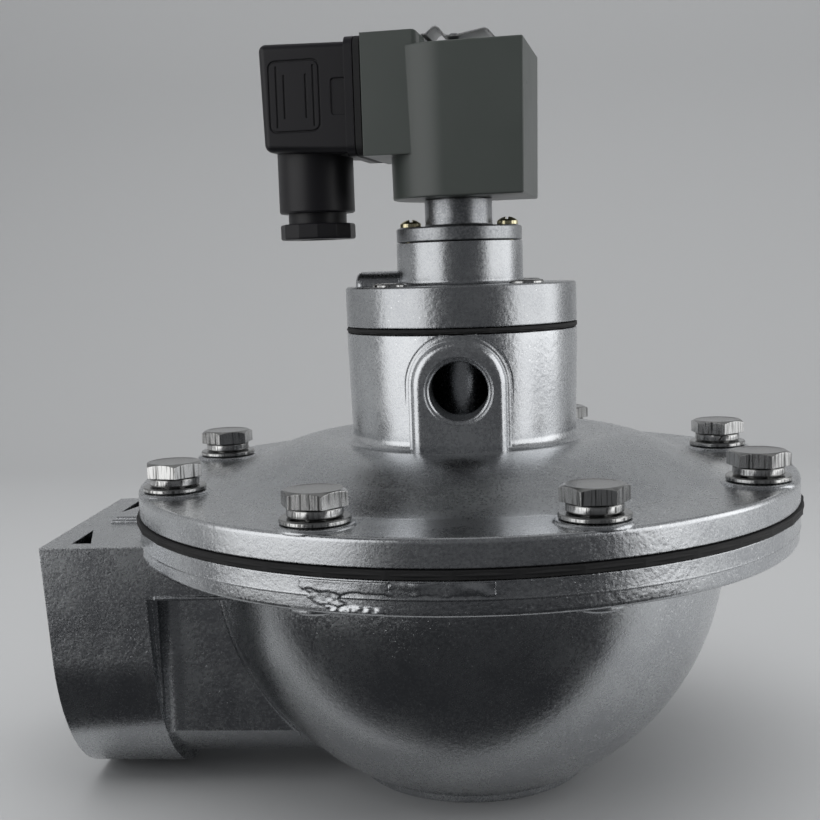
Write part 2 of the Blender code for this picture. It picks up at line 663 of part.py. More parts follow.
def dome_height(radius):
    """Height of the dome's outer face: level at the crown, easing into the flat rim."""
    t = (radius - CROWN_R) / (DOME_R - CROWN_R)
    fall = CROWN_H * (1 - 3 * t ** 2 + 2 * t ** 3)
    ease = DOME_RIM_SLOPE * (DOME_R - CROWN_R) * (t ** 2 - t ** 3)
    return COVER_RIM_TOP + fall + ease


def cover_outline():
    """Section of the cover: rim, dome, pilot body, its chamber and its central tube."""
    points = [(FLANGE_R, COVER_BOTTOM)]
    points += arc(FLANGE_R - RIM_ROUND, COVER_RIM_TOP - RIM_ROUND, RIM_ROUND, 0.0, 90.0, 2)
    radii = [DOME_R + (CROWN_R - DOME_R) * i / 7 for i in range(8)]
    points += [(r, dome_height(r)) for r in radii]
    foot_z = CROWN_TOP - PILOT_FOOT_SINK
    points += arc(PILOT_FOOT_R + PILOT_FOOT_FILLET, foot_z + PILOT_FOOT_FILLET, PILOT_FOOT_FILLET,
                  270.0, 180.0, 3)
    points += [(PILOT_R, PILOT_TOP - 3 * MM), (PILOT_R, PILOT_TOP), (PILOT_CHAMBER_R, PILOT_TOP)]
    points += [(PILOT_CHAMBER_R, PILOT_FLOOR_Z), (PILOT_TUBE_R, PILOT_FLOOR_Z)]
    points += [(PILOT_TUBE_R, PILOT_SEAT_Z - 2 * MM), (PILOT_BORE_R + 1.2 * MM, PILOT_SEAT_Z)]
    points += [(PILOT_BORE_R, PILOT_SEAT_Z), (PILOT_BORE_R, COVER_INNER_TOP)]
    points += [(MAIN_SPRING_SEAT_R, COVER_INNER_TOP)]
    inner = [MAIN_SPRING_SEAT_R + (CHAMBER_R - MAIN_SPRING_SEAT_R) * i / 4 for i in (2, 3)]
    points += [(r, dome_height(max(r, CROWN_R)) - COVER_WALL) for r in inner]
    points += [(CHAMBER_R - 2 * MM, dome_height(CHAMBER_R) - COVER_WALL), (CHAMBER_R, COVER_BOTTOM)]
    return points


def pad_outline():
    """Arch of the exhaust pad, as (x, z): straight sides under a half circle."""
    foot = CROWN_TOP - COVER_WALL / 2
    points = [(-PAD_HALF_W, foot), (PAD_HALF_W, foot)]
    arch_z = EXHAUST_Z + PAD_ARCH_RISE
    points += [(PAD_HALF_W * math.cos(math.radians(a)), arch_z + PAD_HALF_W * math.sin(math.radians(a)))
               for a in range(0, 181, 15)]
    return points


def top_cover(parent):
    cover = add_object("top_cover", turned(cover_outline(), BIG_STEPS), "cover_aluminium", parent)

    pad = prism(pad_outline(), -PAD_REACH, -PILOT_CHAMBER_R - 3 * MM, "Y")
    bevel_edges(pad, PAD_ROUND, 2, lambda e: all(v.co.y < -PAD_REACH + 0.1 * MM for v in e.verts)
                and any(v.co.z > CROWN_TOP for v in e.verts))
    join(cover, pad, "exhaust_pad")
    for number, (x, y, _) in enumerate(bolt_places(), 1):
        seat = rod(SEAT_PAD_R, COVER_RIM_TOP - MM, COVER_RIM_TOP + SEAT_PAD_H, SMALL_STEPS, centre=(x, y))
        join(cover, seat, f"bolt_seat_{number}")

    mouth = -PAD_REACH
    profile = [(0.0, mouth - OVERCUT), (EXHAUST_R + EXHAUST_CHAMFER, mouth - OVERCUT),
               (EXHAUST_R + EXHAUST_CHAMFER, mouth), (EXHAUST_R, mouth + EXHAUST_CHAMFER),
               (EXHAUST_R, -(PILOT_CHAMBER_R + PILOT_TUBE_R) / 2), (0.0, -(PILOT_CHAMBER_R + PILOT_TUBE_R) / 2)]
    exhaust = turned(profile, 24)
    bmesh.ops.rotate(exhaust, verts=exhaust.verts, cent=(0, 0, 0),
                     matrix=Matrix.Rotation(-math.pi / 2, 3, "X"))
    bmesh.ops.translate(exhaust, verts=exhaust.verts, vec=(0, 0, EXHAUST_Z))
    cut(cover, exhaust, "exhaust_hole")

    cut_rods(cover, bolt_places(), BOLT_R + 2 * FIT_GAP, COVER_BOTTOM - OVERCUT,
             COVER_RIM_TOP + SEAT_PAD_H + OVERCUT, SMALL_STEPS, "bolt_hole_top")
    screw_end = LID_TOP - LID_HEAD_SINK - LID_SCREW_LENGTH
    cut_rods(cover, lid_screw_places(), LID_SCREW_R + FIT_GAP, screw_end - MM, PILOT_TOP + OVERCUT,
             SMALL_STEPS, "lid_screw_hole")
    return cover


def diaphragm_outline(rim_r, rim_z, centre_z, plate_r, roll_r, roll_h, thickness, hole_r):
    """Section of a moulded diaphragm: flat centre, a raised roll, and the clamped rim."""
    half = thickness / 2
    middle = [(hole_r, centre_z), (plate_r, centre_z)]
    for i in range(1, 6):
        t = i / 6
        lift = roll_h * math.sin(math.pi * t)
        middle.append((plate_r + (roll_r - plate_r) * t, centre_z + (rim_z - centre_z) * t + lift))
    middle += [(roll_r, rim_z), (rim_r, rim_z)]
    upper = [(r, z + half) for r, z in middle]
    lower = [(r, z - half) for r, z in reversed(middle)]
    return upper + lower


def main_valve(parent, lift_parent):
    """Main diaphragm, its two plates, the centre bolt and nut, and the closing spring."""
    disc_bottom = SEAT_Z + FIT_GAP
    disc_top = disc_bottom + MAIN_SEAT_DISC_T
    centre_z = disc_top + FIT_GAP + DIAPHRAGM_T / 2
    plate_bottom = centre_z + DIAPHRAGM_T / 2 + FIT_GAP
    plate_top = plate_bottom + MAIN_PLATE_T
    hole_r = CENTRE_BOLT_R + FIT_GAP

    outline = diaphragm_outline(DIAPHRAGM_R, GASKET_HEIGHT, centre_z, MAIN_PLATE_R + 2 * MM,
                                CHAMBER_R - MM, MAIN_ROLL_H, DIAPHRAGM_T, hole_r)
    rubber = add_object("main_diaphragm", turned(outline, BIG_STEPS), "diaphragm_rubber", parent)
    cut_rods(rubber, bolt_places(), BOLT_R + 2 * FIT_GAP, GASKET_HEIGHT - DIAPHRAGM_T,
             GASKET_HEIGHT + DIAPHRAGM_T, SMALL_STEPS, "diaphragm_hole")

    disc = [(hole_r, disc_bottom), (MAIN_SEAT_DISC_R - MM, disc_bottom), (MAIN_SEAT_DISC_R, disc_bottom + MM),
            (MAIN_SEAT_DISC_R, disc_top), (hole_r, disc_top)]
    add_object("main_seat_disc", turned(disc, MID_STEPS), "seat_polymer", lift_parent)

    edge = 1.2 * MM
    plate = [(hole_r, plate_bottom), (MAIN_PLATE_R - edge, plate_bottom), (MAIN_PLATE_R, plate_bottom + edge),
             (MAIN_PLATE_R, plate_top + edge), (MAIN_PLATE_R - edge, plate_top), (hole_r, plate_top)]
    add_object("main_support_plate", turned(plate, MID_STEPS), "zinc_steel", lift_parent)

    head_top = disc_bottom - FIT_GAP
    nut_bottom = plate_top + FIT_GAP
    shank_top = nut_bottom + CENTRE_NUT_T + MM
    bolt = [(0.0, head_top - CENTRE_HEAD_T), (CENTRE_HEAD_R - MM, head_top - CENTRE_HEAD_T),
            (CENTRE_HEAD_R, head_top - CENTRE_HEAD_T + MM), (CENTRE_HEAD_R, head_top),
            (CENTRE_BOLT_R, head_top), (CENTRE_BOLT_R, shank_top), (0.0, shank_top)]
    add_object("main_centre_bolt", turned(bolt, SMALL_STEPS), "zinc_steel", lift_parent)
    nut = rod(CENTRE_HEAD_R, nut_bottom, nut_bottom + CENTRE_NUT_T, 6)
    nut_object = add_object("main_centre_nut", nut, "zinc_steel", lift_parent, smooth=None)
    cut(nut_object, rod(hole_r, nut_bottom - OVERCUT, nut_bottom + CENTRE_NUT_T + OVERCUT, SMALL_STEPS),
        "centre_nut_hole")

    helix("main_spring", MAIN_SPRING_R, MAIN_SPRING_TOP_R, MAIN_SPRING_WIRE, plate_top + FIT_GAP,
          COVER_INNER_TOP - FIT_GAP, MAIN_SPRING_TURNS, "spring_steel", parent)


def pilot_valve(parent, lift_parent):
    """Pilot diaphragm, its plate and rivet, and its spring."""
    centre_z = PILOT_SEAT_Z + FIT_GAP + PILOT_DIAPHRAGM_T / 2
    plate_bottom = centre_z + PILOT_DIAPHRAGM_T / 2 + FIT_GAP
    plate_top = plate_bottom + PILOT_PLATE_T
    hole_r = PILOT_RIVET_R + FIT_GAP

    outline = diaphragm_outline(PILOT_DIAPHRAGM_R, PILOT_GASKET_HEIGHT, centre_z, PILOT_PLATE_R + 0.5 * MM,
                                PILOT_CHAMBER_R - 0.6 * MM, PILOT_ROLL_H, PILOT_DIAPHRAGM_T, hole_r)
    rubber = add_object("pilot_diaphragm", turned(outline, MID_STEPS), "diaphragm_rubber", parent)
    cut_rods(rubber, lid_screw_places(), LID_SCREW_R + 2 * FIT_GAP, PILOT_GASKET_HEIGHT - PILOT_DIAPHRAGM_T,
             PILOT_GASKET_HEIGHT + PILOT_DIAPHRAGM_T, SMALL_STEPS, "pilot_diaphragm_hole")

    plate = [(hole_r, plate_bottom), (PILOT_PLATE_R, plate_bottom), (PILOT_PLATE_R, plate_top),
             (hole_r, plate_top)]
    add_object("pilot_support_plate", turned(plate, MID_STEPS), "zinc_steel", lift_parent)

    low_head = centre_z - PILOT_DIAPHRAGM_T / 2 - FIT_GAP
    high_head = plate_top + FIT_GAP
    rivet = [(0.0, low_head - PILOT_RIVET_HEAD_T), (PILOT_RIVET_HEAD_R, low_head - PILOT_RIVET_HEAD_T),
             (PILOT_RIVET_HEAD_R, low_head), (PILOT_RIVET_R, low_head), (PILOT_RIVET_R, high_head),
             (PILOT_RIVET_HEAD_R, high_head), (PILOT_RIVET_HEAD_R, high_head + PILOT_RIVET_HEAD_T),
             (0.0, high_head + PILOT_RIVET_HEAD_T)]
    add_object("pilot_rivet", turned(rivet, SMALL_STEPS), "contact_brass", lift_parent)

    helix("pilot_spring", PILOT_SPRING_R, PILOT_SPRING_R, PILOT_SPRING_WIRE, plate_top + FIT_GAP,
          LID_BOTTOM + SPRING_POCKET_DEPTH - FIT_GAP, PILOT_SPRING_TURNS, "spring_steel", parent)


def lid_outline():
    """Section of the lid: disc, turret, plunger well with its nipple, and the recess below."""
    groove_in = SEAL_RING_R - SEAL_GROOVE_W / 2
    groove_out = SEAL_RING_R + SEAL_GROOVE_W / 2
    groove_z = TURRET_TOP - SEAL_GROOVE_DEPTH
    points = [(PILOT_R, LID_BOTTOM), (PILOT_R, LID_TOP - LID_EDGE), (PILOT_R - LID_EDGE, LID_TOP)]
    points += arc(TURRET_R + TURRET_FILLET, LID_TOP + TURRET_FILLET, TURRET_FILLET, 270.0, 180.0, 2)
    points += [(TURRET_R, TURRET_TOP), (groove_out, TURRET_TOP), (groove_out, groove_z)]
    points += [(groove_in, groove_z), (groove_in, TURRET_TOP), (PLUNGER_WELL_R, TURRET_TOP)]
    points += [(PLUNGER_WELL_R, WELL_FLOOR), (NIPPLE_R + 0.8 * MM, WELL_FLOOR), (NIPPLE_R, NIPPLE_TOP)]
    points += [(ORIFICE_R, NIPPLE_TOP), (ORIFICE_R, LID_BOTTOM + SPRING_POCKET_DEPTH)]
    points += [(SPRING_POCKET_R, LID_BOTTOM + SPRING_POCKET_DEPTH), (SPRING_POCKET_R, LID_BOTTOM + LID_RECESS)]
    points += [(PILOT_CHAMBER_R, LID_BOTTOM + LID_RECESS), (PILOT_CHAMBER_R, LID_BOTTOM)]
    return points


def pilot_lid(parent):
    lid = add_object("pilot_lid", turned(lid_outline(), MID_STEPS), "machined_aluminium", parent)
    rib_z = LID_TOP + RIB_TOP - RIB_R
    rib = rod(RIB_R, -RIB_REACH, -TURRET_R + 2 * MM, SMALL_STEPS, "X", centre=(0.0, rib_z))
    bevel_edges(rib, RIB_END_ROUND, 2, lambda e: all(v.co.x < -RIB_REACH + 0.1 * MM for v in e.verts))
    low = [v for v in rib.verts if v.co.z < LID_TOP - 3 * MM]
    for vert in low:
        vert.co.z = LID_TOP - 3 * MM
    join(lid, rib, "bleed_rib")

    cut_rods(lid, lid_screw_places(), LID_SCREW_R + FIT_GAP, LID_BOTTOM - OVERCUT, LID_TOP + OVERCUT,
             SMALL_STEPS, "lid_clearance")
    cut_rods(lid, lid_screw_places(), LID_HEAD_R + 2 * FIT_GAP, LID_TOP - LID_HEAD_SINK - FIT_GAP,
             LID_TOP + OVERCUT, SMALL_STEPS, "lid_counterbore")
    screw_end = STEM_FLANGE_TOP + FIT_GAP - STEM_SCREW_LENGTH
    cut_rods(lid, stem_screw_places(), STEM_SCREW_R + FIT_GAP, screw_end - MM, TURRET_TOP + OVERCUT,
             SMALL_STEPS, "stem_thread")
    return lid


def slotted_screw(name, head_r, head_t, shank_r, length, dome, material_name, parent, location):
    """A slotted screw standing on its head's underside, its crown domed by a share of the head."""
    rise = head_t * dome
    profile = [(0.0, -length), (shank_r, -length), (shank_r, 0.0), (head_r, 0.0), (head_r, head_t - rise),
               (head_r * 0.72, head_t - rise * 0.3), (0.0, head_t)]
    screw = add_object(name, turned(profile, SMALL_STEPS), material_name, parent, location)
    slot = block((-head_r - OVERCUT, -SLOT_W / 2, head_t - SLOT_DEPTH), (head_r + OVERCUT, SLOT_W / 2, head_t + OVERCUT))
    cut(screw, slot, name + "_slot")
    return screw


def lid_screws(parent):
    for number, (x, y, angle) in enumerate(lid_screw_places(), 1):
        slotted_screw(f"lid_screw_{number}", LID_HEAD_R, LID_HEAD_T, LID_SCREW_R, LID_SCREW_LENGTH, 0.1,
                      "zinc_steel", parent, (x, y, LID_TOP - LID_HEAD_SINK))


def stem_screw_places():
    return ring_places(2, STEM_SCREW_CIRCLE_R, 0.0)


def stem_outline():
    """Section of the armature tube: flange, neck, thin tube, blind bore, and the clip's groove."""
    tube_top = COIL_TOP + 0.6 * MM
    groove_z = COIL_TOP + CLIP_FLAT_H - FIT_GAP
    bore_top = STEM_BOTTOM + STEM_BORE_DEPTH
    return [(STEM_BORE_R, STEM_BOTTOM), (STEM_FLANGE_R, STEM_BOTTOM),
            (STEM_FLANGE_R, STEM_FLANGE_TOP - 0.4 * MM), (STEM_FLANGE_R - 0.4 * MM, STEM_FLANGE_TOP),
            (STEM_NECK_R + MM, STEM_FLANGE_TOP), (STEM_NECK_R, STEM_FLANGE_TOP + MM),
            (STEM_NECK_R, STEM_FLANGE_TOP + STEM_NECK_H), (STEM_TUBE_R, STEM_FLANGE_TOP + STEM_NECK_H),
            (STEM_TUBE_R, tube_top), (STEM_TIP_R, tube_top), (STEM_TIP_R, groove_z),
            (CLIP_GROOVE_R, groove_z), (CLIP_GROOVE_R, groove_z + CLIP_T + 2 * FIT_GAP),
            (STEM_TIP_R, groove_z + CLIP_T + 2 * FIT_GAP),
            (STEM_TIP_R, COIL_TOP + STEM_TIP_H - STEM_TIP_CHAMFER),
            (STEM_TIP_R - STEM_TIP_CHAMFER, COIL_TOP + STEM_TIP_H), (0.0, COIL_TOP + STEM_TIP_H),
            (0.0, bore_top), (STEM_BORE_R, bore_top)]


def stem(parent):
    tube = add_object("armature_tube", turned(stem_outline(), MID_STEPS), "machined_aluminium", parent)
    cut_rods(tube, stem_screw_places(), STEM_SCREW_R + 2 * FIT_GAP, STEM_BOTTOM - OVERCUT,
             STEM_FLANGE_TOP + OVERCUT, SMALL_STEPS, "stem_clearance")
    ring_z = TURRET_TOP - SEAL_GROOVE_DEPTH + FIT_GAP + SEAL_WIRE_R
    add_object("stem_seal", turned(arc(SEAL_RING_R, ring_z, SEAL_WIRE_R, 0.0, 315.0, 7), MID_STEPS),
               "diaphragm_rubber", parent)
    for number, (x, y, angle) in enumerate(stem_screw_places(), 1):
        slotted_screw(f"stem_screw_{number}", STEM_HEAD_R, STEM_HEAD_T, STEM_SCREW_R, STEM_SCREW_LENGTH, 0.5,
                      "yellow_zinc_steel", parent, (x, y, STEM_FLANGE_TOP + FIT_GAP))


def plunger(parent, lift_parent):
    """Soft-iron plunger with its rubber seat, and the spring above it."""
    radius = STEM_BORE_R - RUN_GAP
    seal_bottom = NIPPLE_TOP + FIT_GAP
    bottom = seal_bottom + 0.4 * MM
    top = bottom + PLUNGER_LENGTH
    pocket_r = PLUNGER_SEAL_R + FIT_GAP
    pocket_top = seal_bottom + PLUNGER_SEAL_T + FIT_GAP
    profile = [(0.0, pocket_top), (pocket_r, pocket_top), (pocket_r, bottom), (radius, bottom),
               (radius, top - 0.5 * MM), (radius - 0.5 * MM, top), (0.0, top)]
    add_object("plunger", turned(profile, MID_STEPS), "stainless_steel", lift_parent)
    seal = [(0.0, seal_bottom), (PLUNGER_SEAL_R, seal_bottom), (PLUNGER_SEAL_R, pocket_top - FIT_GAP),
            (0.0, pocket_top - FIT_GAP)]
    add_object("plunger_seal", turned(seal, SMALL_STEPS), "diaphragm_rubber", lift_parent)
    helix("plunger_spring", PLUNGER_SPRING_R, PLUNGER_SPRING_R, PLUNGER_SPRING_WIRE, top + FIT_GAP,
          STEM_BOTTOM + STEM_BORE_DEPTH - FIT_GAP, PLUNGER_SPRING_TURNS, "spring_steel", parent)


def coil(parent):
    """Moulded coil: half round towards the connector, square away from it, with its terminal block."""
    start = math.degrees(math.asin(COIL_HALF_W / COIL_R))
    angles = [180.0 - start + 2 * start * i / 12 for i in range(13)]
    sections = []
    for shrink, z in ((COIL_DRAFT + COIL_EDGE, COIL_BOTTOM), (COIL_DRAFT, COIL_BOTTOM + COIL_EDGE),
                      (0.0, COIL_TOP - COIL_EDGE), (COIL_EDGE, COIL_TOP)):
        reach, half_w = COIL_REACH - shrink, COIL_HALF_W - shrink
        radius = half_w / math.sin(math.radians(start))
        outline = [(reach, -half_w), (reach, half_w)]
        outline += [(radius * math.cos(math.radians(a)), radius * math.sin(math.radians(a))) for a in angles]
        sections.append([(x, y, z) for x, y in outline])
    shell = add_object("coil", loft(sections), "coil_resin", parent)

    head = block((-BLOCK_REACH, -BLOCK_HALF_W, BLOCK_BOTTOM), (-BLOCK_END, BLOCK_HALF_W, BLOCK_TOP))
    bevel_edges(head, BLOCK_ROUND, 3, lambda e: all(v.co.x > -BLOCK_END - MM for v in e.verts)
                and (edge_along(e, 2) or all(v.co.z > BLOCK_TOP - MM for v in e.verts)))
    join(shell, head, "terminal_block")
    well_half = CLIP_HALF_W + CLIP_WELL_GAP
    well = block((-CLIP_LEG_X - CLIP_WELL_GAP, -well_half, COIL_TOP), (OVERCUT - BLOCK_END, well_half, BLOCK_TOP + OVERCUT))
    cut(shell, well, "clip_well")
    cut(shell, rod(STEM_TUBE_R + FIT_GAP, COIL_BOTTOM - OVERCUT, BLOCK_TOP + OVERCUT, MID_STEPS), "stem_hole")
    cut(shell, rod(PLUG_SCREW_R + FIT_GAP, -BLOCK_REACH - OVERCUT, -BLOCK_REACH + 7 * MM, SMALL_STEPS, "X",
                   centre=(0.0, PLUG_Z)), "plug_screw_thread")
    for number, (y, z, wide_y) in enumerate(blade_places(), 1):
        half_y, half_z = blade_halves(wide_y, FIT_GAP)
        socket = block((-BLOCK_REACH - OVERCUT, y - half_y, z - half_z),
                       (-BLOCK_REACH + 3 * MM, y + half_y, z + half_z))
        cut(shell, socket, f"blade_socket_{number}")
    return shell


def coil_clip(parent):
    """Strip over the stem's tip: a peaked wing towards the connector, a long tab away from it."""
    tab_bend = CLIP_TAB_X + CLIP_TAB_BEND
    tab_end = CLIP_TAB_X + CLIP_TAB_END
    under = [(-CLIP_LEG_X, FIT_GAP), (-CLIP_LEG_X, CLIP_LEG_H), (-CLIP_LEDGE_X, CLIP_LEG_H),
             (-CLIP_PEAK_X, CLIP_PEAK_H), (-CLIP_FLAT_X, CLIP_FLAT_H), (CLIP_FLAT_X, CLIP_FLAT_H),
             (CLIP_TAB_X, CLIP_TAB_H), (tab_bend, CLIP_TAB_BEND_H), (tab_end, FIT_GAP)]
    under = [(x, COIL_TOP + z) for x, z in under]
    over = []
    for i, (x, z) in enumerate(under):
        before = Vector(under[max(i - 1, 0)])
        after = Vector(under[min(i + 1, len(under) - 1)])
        run = (after - before).normalized()
        over.append((x - run.y * CLIP_T, z + run.x * CLIP_T))
    clip = add_object("coil_clip", prism(under + over[::-1], -CLIP_HALF_W, CLIP_HALF_W, "Y"),
                      "spring_steel", parent, smooth=None)
    flat_z = COIL_TOP + CLIP_FLAT_H
    hole_r = CLIP_GROOVE_R + RUN_GAP
    cut(clip, rod(hole_r, flat_z - MM, flat_z + CLIP_T + MM, SMALL_STEPS), "clip_hole")
    slot = block((-hole_r * 0.9, 0.0, flat_z - MM), (hole_r * 0.9, CLIP_HALF_W + OVERCUT, flat_z + CLIP_T + MM))
    cut(clip, slot, "clip_slot")


def blade_places():
    """Two line blades above and below the screw and one earth blade beside it, as (y, z, wide in y)."""
    return [(0.0, PLUG_Z + BLADE_PITCH, True), (0.0, PLUG_Z - BLADE_PITCH, True), (BLADE_PITCH, PLUG_Z, False)]


def blade_halves(wide_y, gap):
    wide, thin = BLADE_W / 2 + gap, BLADE_T / 2 + gap
    return (wide, thin) if wide_y else (thin, wide)


def rounded_box_outline(half_w, low, high, corner):
    """Rounded rectangle as (y, z) points."""
    points = []
    for cy, cz, start in ((half_w - corner, high - corner, 0), (-half_w + corner, high - corner, 90),
                          (-half_w + corner, low + corner, 180), (half_w - corner, low + corner, 270)):
        points += [(cy + corner * math.cos(math.radians(start + a)), cz + corner * math.sin(math.radians(start + a)))
                   for a in (0, 30, 60, 90)]
    return points


def plug(parent):
    """Square plug: gasket, hollow housing with gland barrel, contact carrier, screw and gland parts."""
    gasket_x = -BLOCK_REACH - FIT_GAP
    rim_x = gasket_x - PLUG_GASKET_T - FIT_GAP
    housing_x = rim_x - HOUSING_RIM_T
    end_x = housing_x - HOUSING_L
    low, high = PLUG_Z - PLUG_H / 2, PLUG_Z + PLUG_H / 2
    window = BLADE_PITCH + BLADE_W / 2 + 0.6 * MM

    gasket = add_object("connector_gasket",
                        prism(rounded_box_outline(PLUG_HALF_W, low, high, PLUG_CORNER),
                              gasket_x - PLUG_GASKET_T, gasket_x, "X"), "diaphragm_rubber", parent)
    cut(gasket, block((gasket_x - 3 * PLUG_GASKET_T, -window, PLUG_Z - window),
                      (gasket_x + OVERCUT, window, PLUG_Z + window)), "gasket_window")

    top_z = high - HOUSING_TOP_STEP
    bottom_z = low + HOUSING_LOW_STEP
    rim = rounded_box_outline(PLUG_HALF_W, low, high, PLUG_CORNER)
    sections = [[(x, y, z) for y, z in rim] for x in (rim_x, housing_x)]
    places = [(housing_x - 0.05 * MM, 0.0)]
    places += [(end_x + HOUSING_ROUND * (1 - math.cos(math.radians(a))),
                HOUSING_ROUND * (1 - math.sin(math.radians(a)))) for a in (90, 60, 30, 0)]
    for x, shrink in places:
        share = (housing_x - x) / HOUSING_L
        outline = rounded_box_outline(HOUSING_HALF_W - shrink, bottom_z + HOUSING_TAPER * share + shrink,
                                      top_z + HOUSING_RISE * share - shrink, HOUSING_ROUND)
        lean = HOUSING_DRAFT * share / (top_z - bottom_z)
        sections.append([(x + lean * (top_z - z), y, z) for y, z in outline])
    housing = add_object("connector_housing", loft(sections), "plug_nylon", parent)

    gland_x = end_x + GLAND_INSET
    barrel_bottom = bottom_z - GLAND_DROP + HOUSING_TAPER
    neck_bottom = barrel_bottom - GLAND_NECK_DROP
    barrel = [(0.0, neck_bottom), (GLAND_NECK_R, neck_bottom), (GLAND_NECK_R, barrel_bottom),
              (GLAND_R, barrel_bottom), (GLAND_R, bottom_z + 3 * MM), (0.0, bottom_z + 3 * MM)]
    barrel_bm = turned(barrel, 24)
    bmesh.ops.translate(barrel_bm, verts=barrel_bm.verts, vec=(gland_x, 0, 0))
    join(housing, barrel_bm, "gland_barrel")

    wall = HOUSING_WALL
    hollow_low = bottom_z + HOUSING_TAPER + wall
    hollow_high = top_z - wall
    hollow_half = HOUSING_HALF_W - wall
    hollow_x = end_x + wall
    cut(housing, block((hollow_x, -hollow_half, hollow_low), (rim_x + OVERCUT, hollow_half, hollow_high)),
        "housing_hollow")
    cut(housing, rod(GLAND_BORE_R, neck_bottom - OVERCUT, hollow_low + MM, 24, centre=(gland_x, 0.0)),
        "gland_bore")
    screw_hole = rod(PLUG_SCREW_R + FIT_GAP, end_x - OVERCUT, hollow_x + OVERCUT, SMALL_STEPS, "X",
                     centre=(0.0, PLUG_Z))
    cut(housing, screw_hole, "housing_screw_hole")

    carrier_x = hollow_x + CARRIER_INSET
    carrier_low = hollow_low + FIT_GAP
    carrier = add_object("contact_carrier",
                         block((carrier_x, -hollow_half + FIT_GAP, carrier_low),
                               (rim_x, hollow_half - FIT_GAP, hollow_high - FIT_GAP)), "coil_resin", parent,
                         smooth=None)
    cut(carrier, rod(PLUG_SCREW_R + FIT_GAP, carrier_x - OVERCUT, rim_x + OVERCUT, SMALL_STEPS, "X",
                     centre=(0.0, PLUG_Z)), "carrier_screw_hole")
    for number, (y, z, wide_y) in enumerate(blade_places(), 1):
        half_y, half_z = blade_halves(wide_y, FIT_GAP)
        cut(carrier, block((-BLOCK_REACH - BLADE_L - MM, y - half_y, z - half_z),
                           (rim_x + OVERCUT, y + half_y, z + half_z)), f"carrier_slot_{number}")
        half_y, half_z = blade_halves(wide_y, 0.0)
        blade = block((-BLOCK_REACH - BLADE_L, y - half_y, z - half_z),
                      (-BLOCK_REACH + 3 * MM - FIT_GAP, y + half_y, z + half_z))
        add_object(f"contact_blade_{number}", blade, "contact_brass", parent, smooth=None)

    shank_end = -BLOCK_REACH + 6 * MM
    head_x = end_x - FIT_GAP
    screw = [(0.0, head_x - PLUG_SCREW_HEAD_T), (PLUG_SCREW_HEAD_R, head_x - PLUG_SCREW_HEAD_T),
             (PLUG_SCREW_HEAD_R, head_x), (PLUG_SCREW_R, head_x), (PLUG_SCREW_R, shank_end), (0.0, shank_end)]
    screw_bm = turned(screw, SMALL_STEPS)
    bmesh.ops.rotate(screw_bm, verts=screw_bm.verts, cent=(0, 0, 0), matrix=Matrix.Rotation(math.pi / 2, 3, "Y"))
    bmesh.ops.translate(screw_bm, verts=screw_bm.verts, vec=(0, 0, PLUG_Z))
    plug_screw = add_object("connector_screw", screw_bm, "zinc_steel", parent)
    cut(plug_screw, block((head_x - PLUG_SCREW_HEAD_T - OVERCUT, -SLOT_W / 2, PLUG_Z - 2 * PLUG_SCREW_HEAD_R),
                          (head_x - PLUG_SCREW_HEAD_T + SLOT_DEPTH, SLOT_W / 2, PLUG_Z + 2 * PLUG_SCREW_HEAD_R)),
        "plug_screw_slot")

    nut_top = barrel_bottom - NUT_GAP
    nut_bottom = nut_top - NUT_H
    nut_bore = GLAND_NECK_R + RUN_GAP
    nut = add_object("gland_nut", rod(NUT_R, nut_bottom, nut_top, NUT_FACETS), "plug_nylon", parent,
                     (gland_x, 0.0, 0.0), smooth=None)
    hollow = [(0.0, nut_bottom - OVERCUT), (CABLE_HOLE_R, nut_bottom - OVERCUT),
              (CABLE_HOLE_R, nut_bottom + NUT_LIP), (nut_bore, nut_bottom + NUT_LIP),
              (nut_bore, nut_top + OVERCUT), (0.0, nut_top + OVERCUT)]
    cut(nut, turned(hollow, MID_STEPS), "nut_hollow")
    grommet_bottom = neck_bottom + FIT_GAP
    grommet = [(CABLE_HOLE_R, grommet_bottom), (GLAND_BORE_R - FIT_GAP, grommet_bottom),
               (GLAND_BORE_R - FIT_GAP, grommet_bottom + GROMMET_H), (CABLE_HOLE_R, grommet_bottom + GROMMET_H)]
    add_object("gland_grommet", turned(grommet, 24), "diaphragm_rubber", parent, (gland_x, 0.0, 0.0))


def bolt_head():
    """Hexagon bolt standing on its head's underside: chamfered head and round shank."""
    corner_r = HEAD_ACROSS_FLATS / math.sqrt(3)
    head = rod(corner_r, 0.0, HEAD_H, 6)
    bevel_edges(head, 0.7 * MM, 1, lambda e: all(v.co.z > HEAD_H - 0.1 * MM for v in e.verts))
    return head


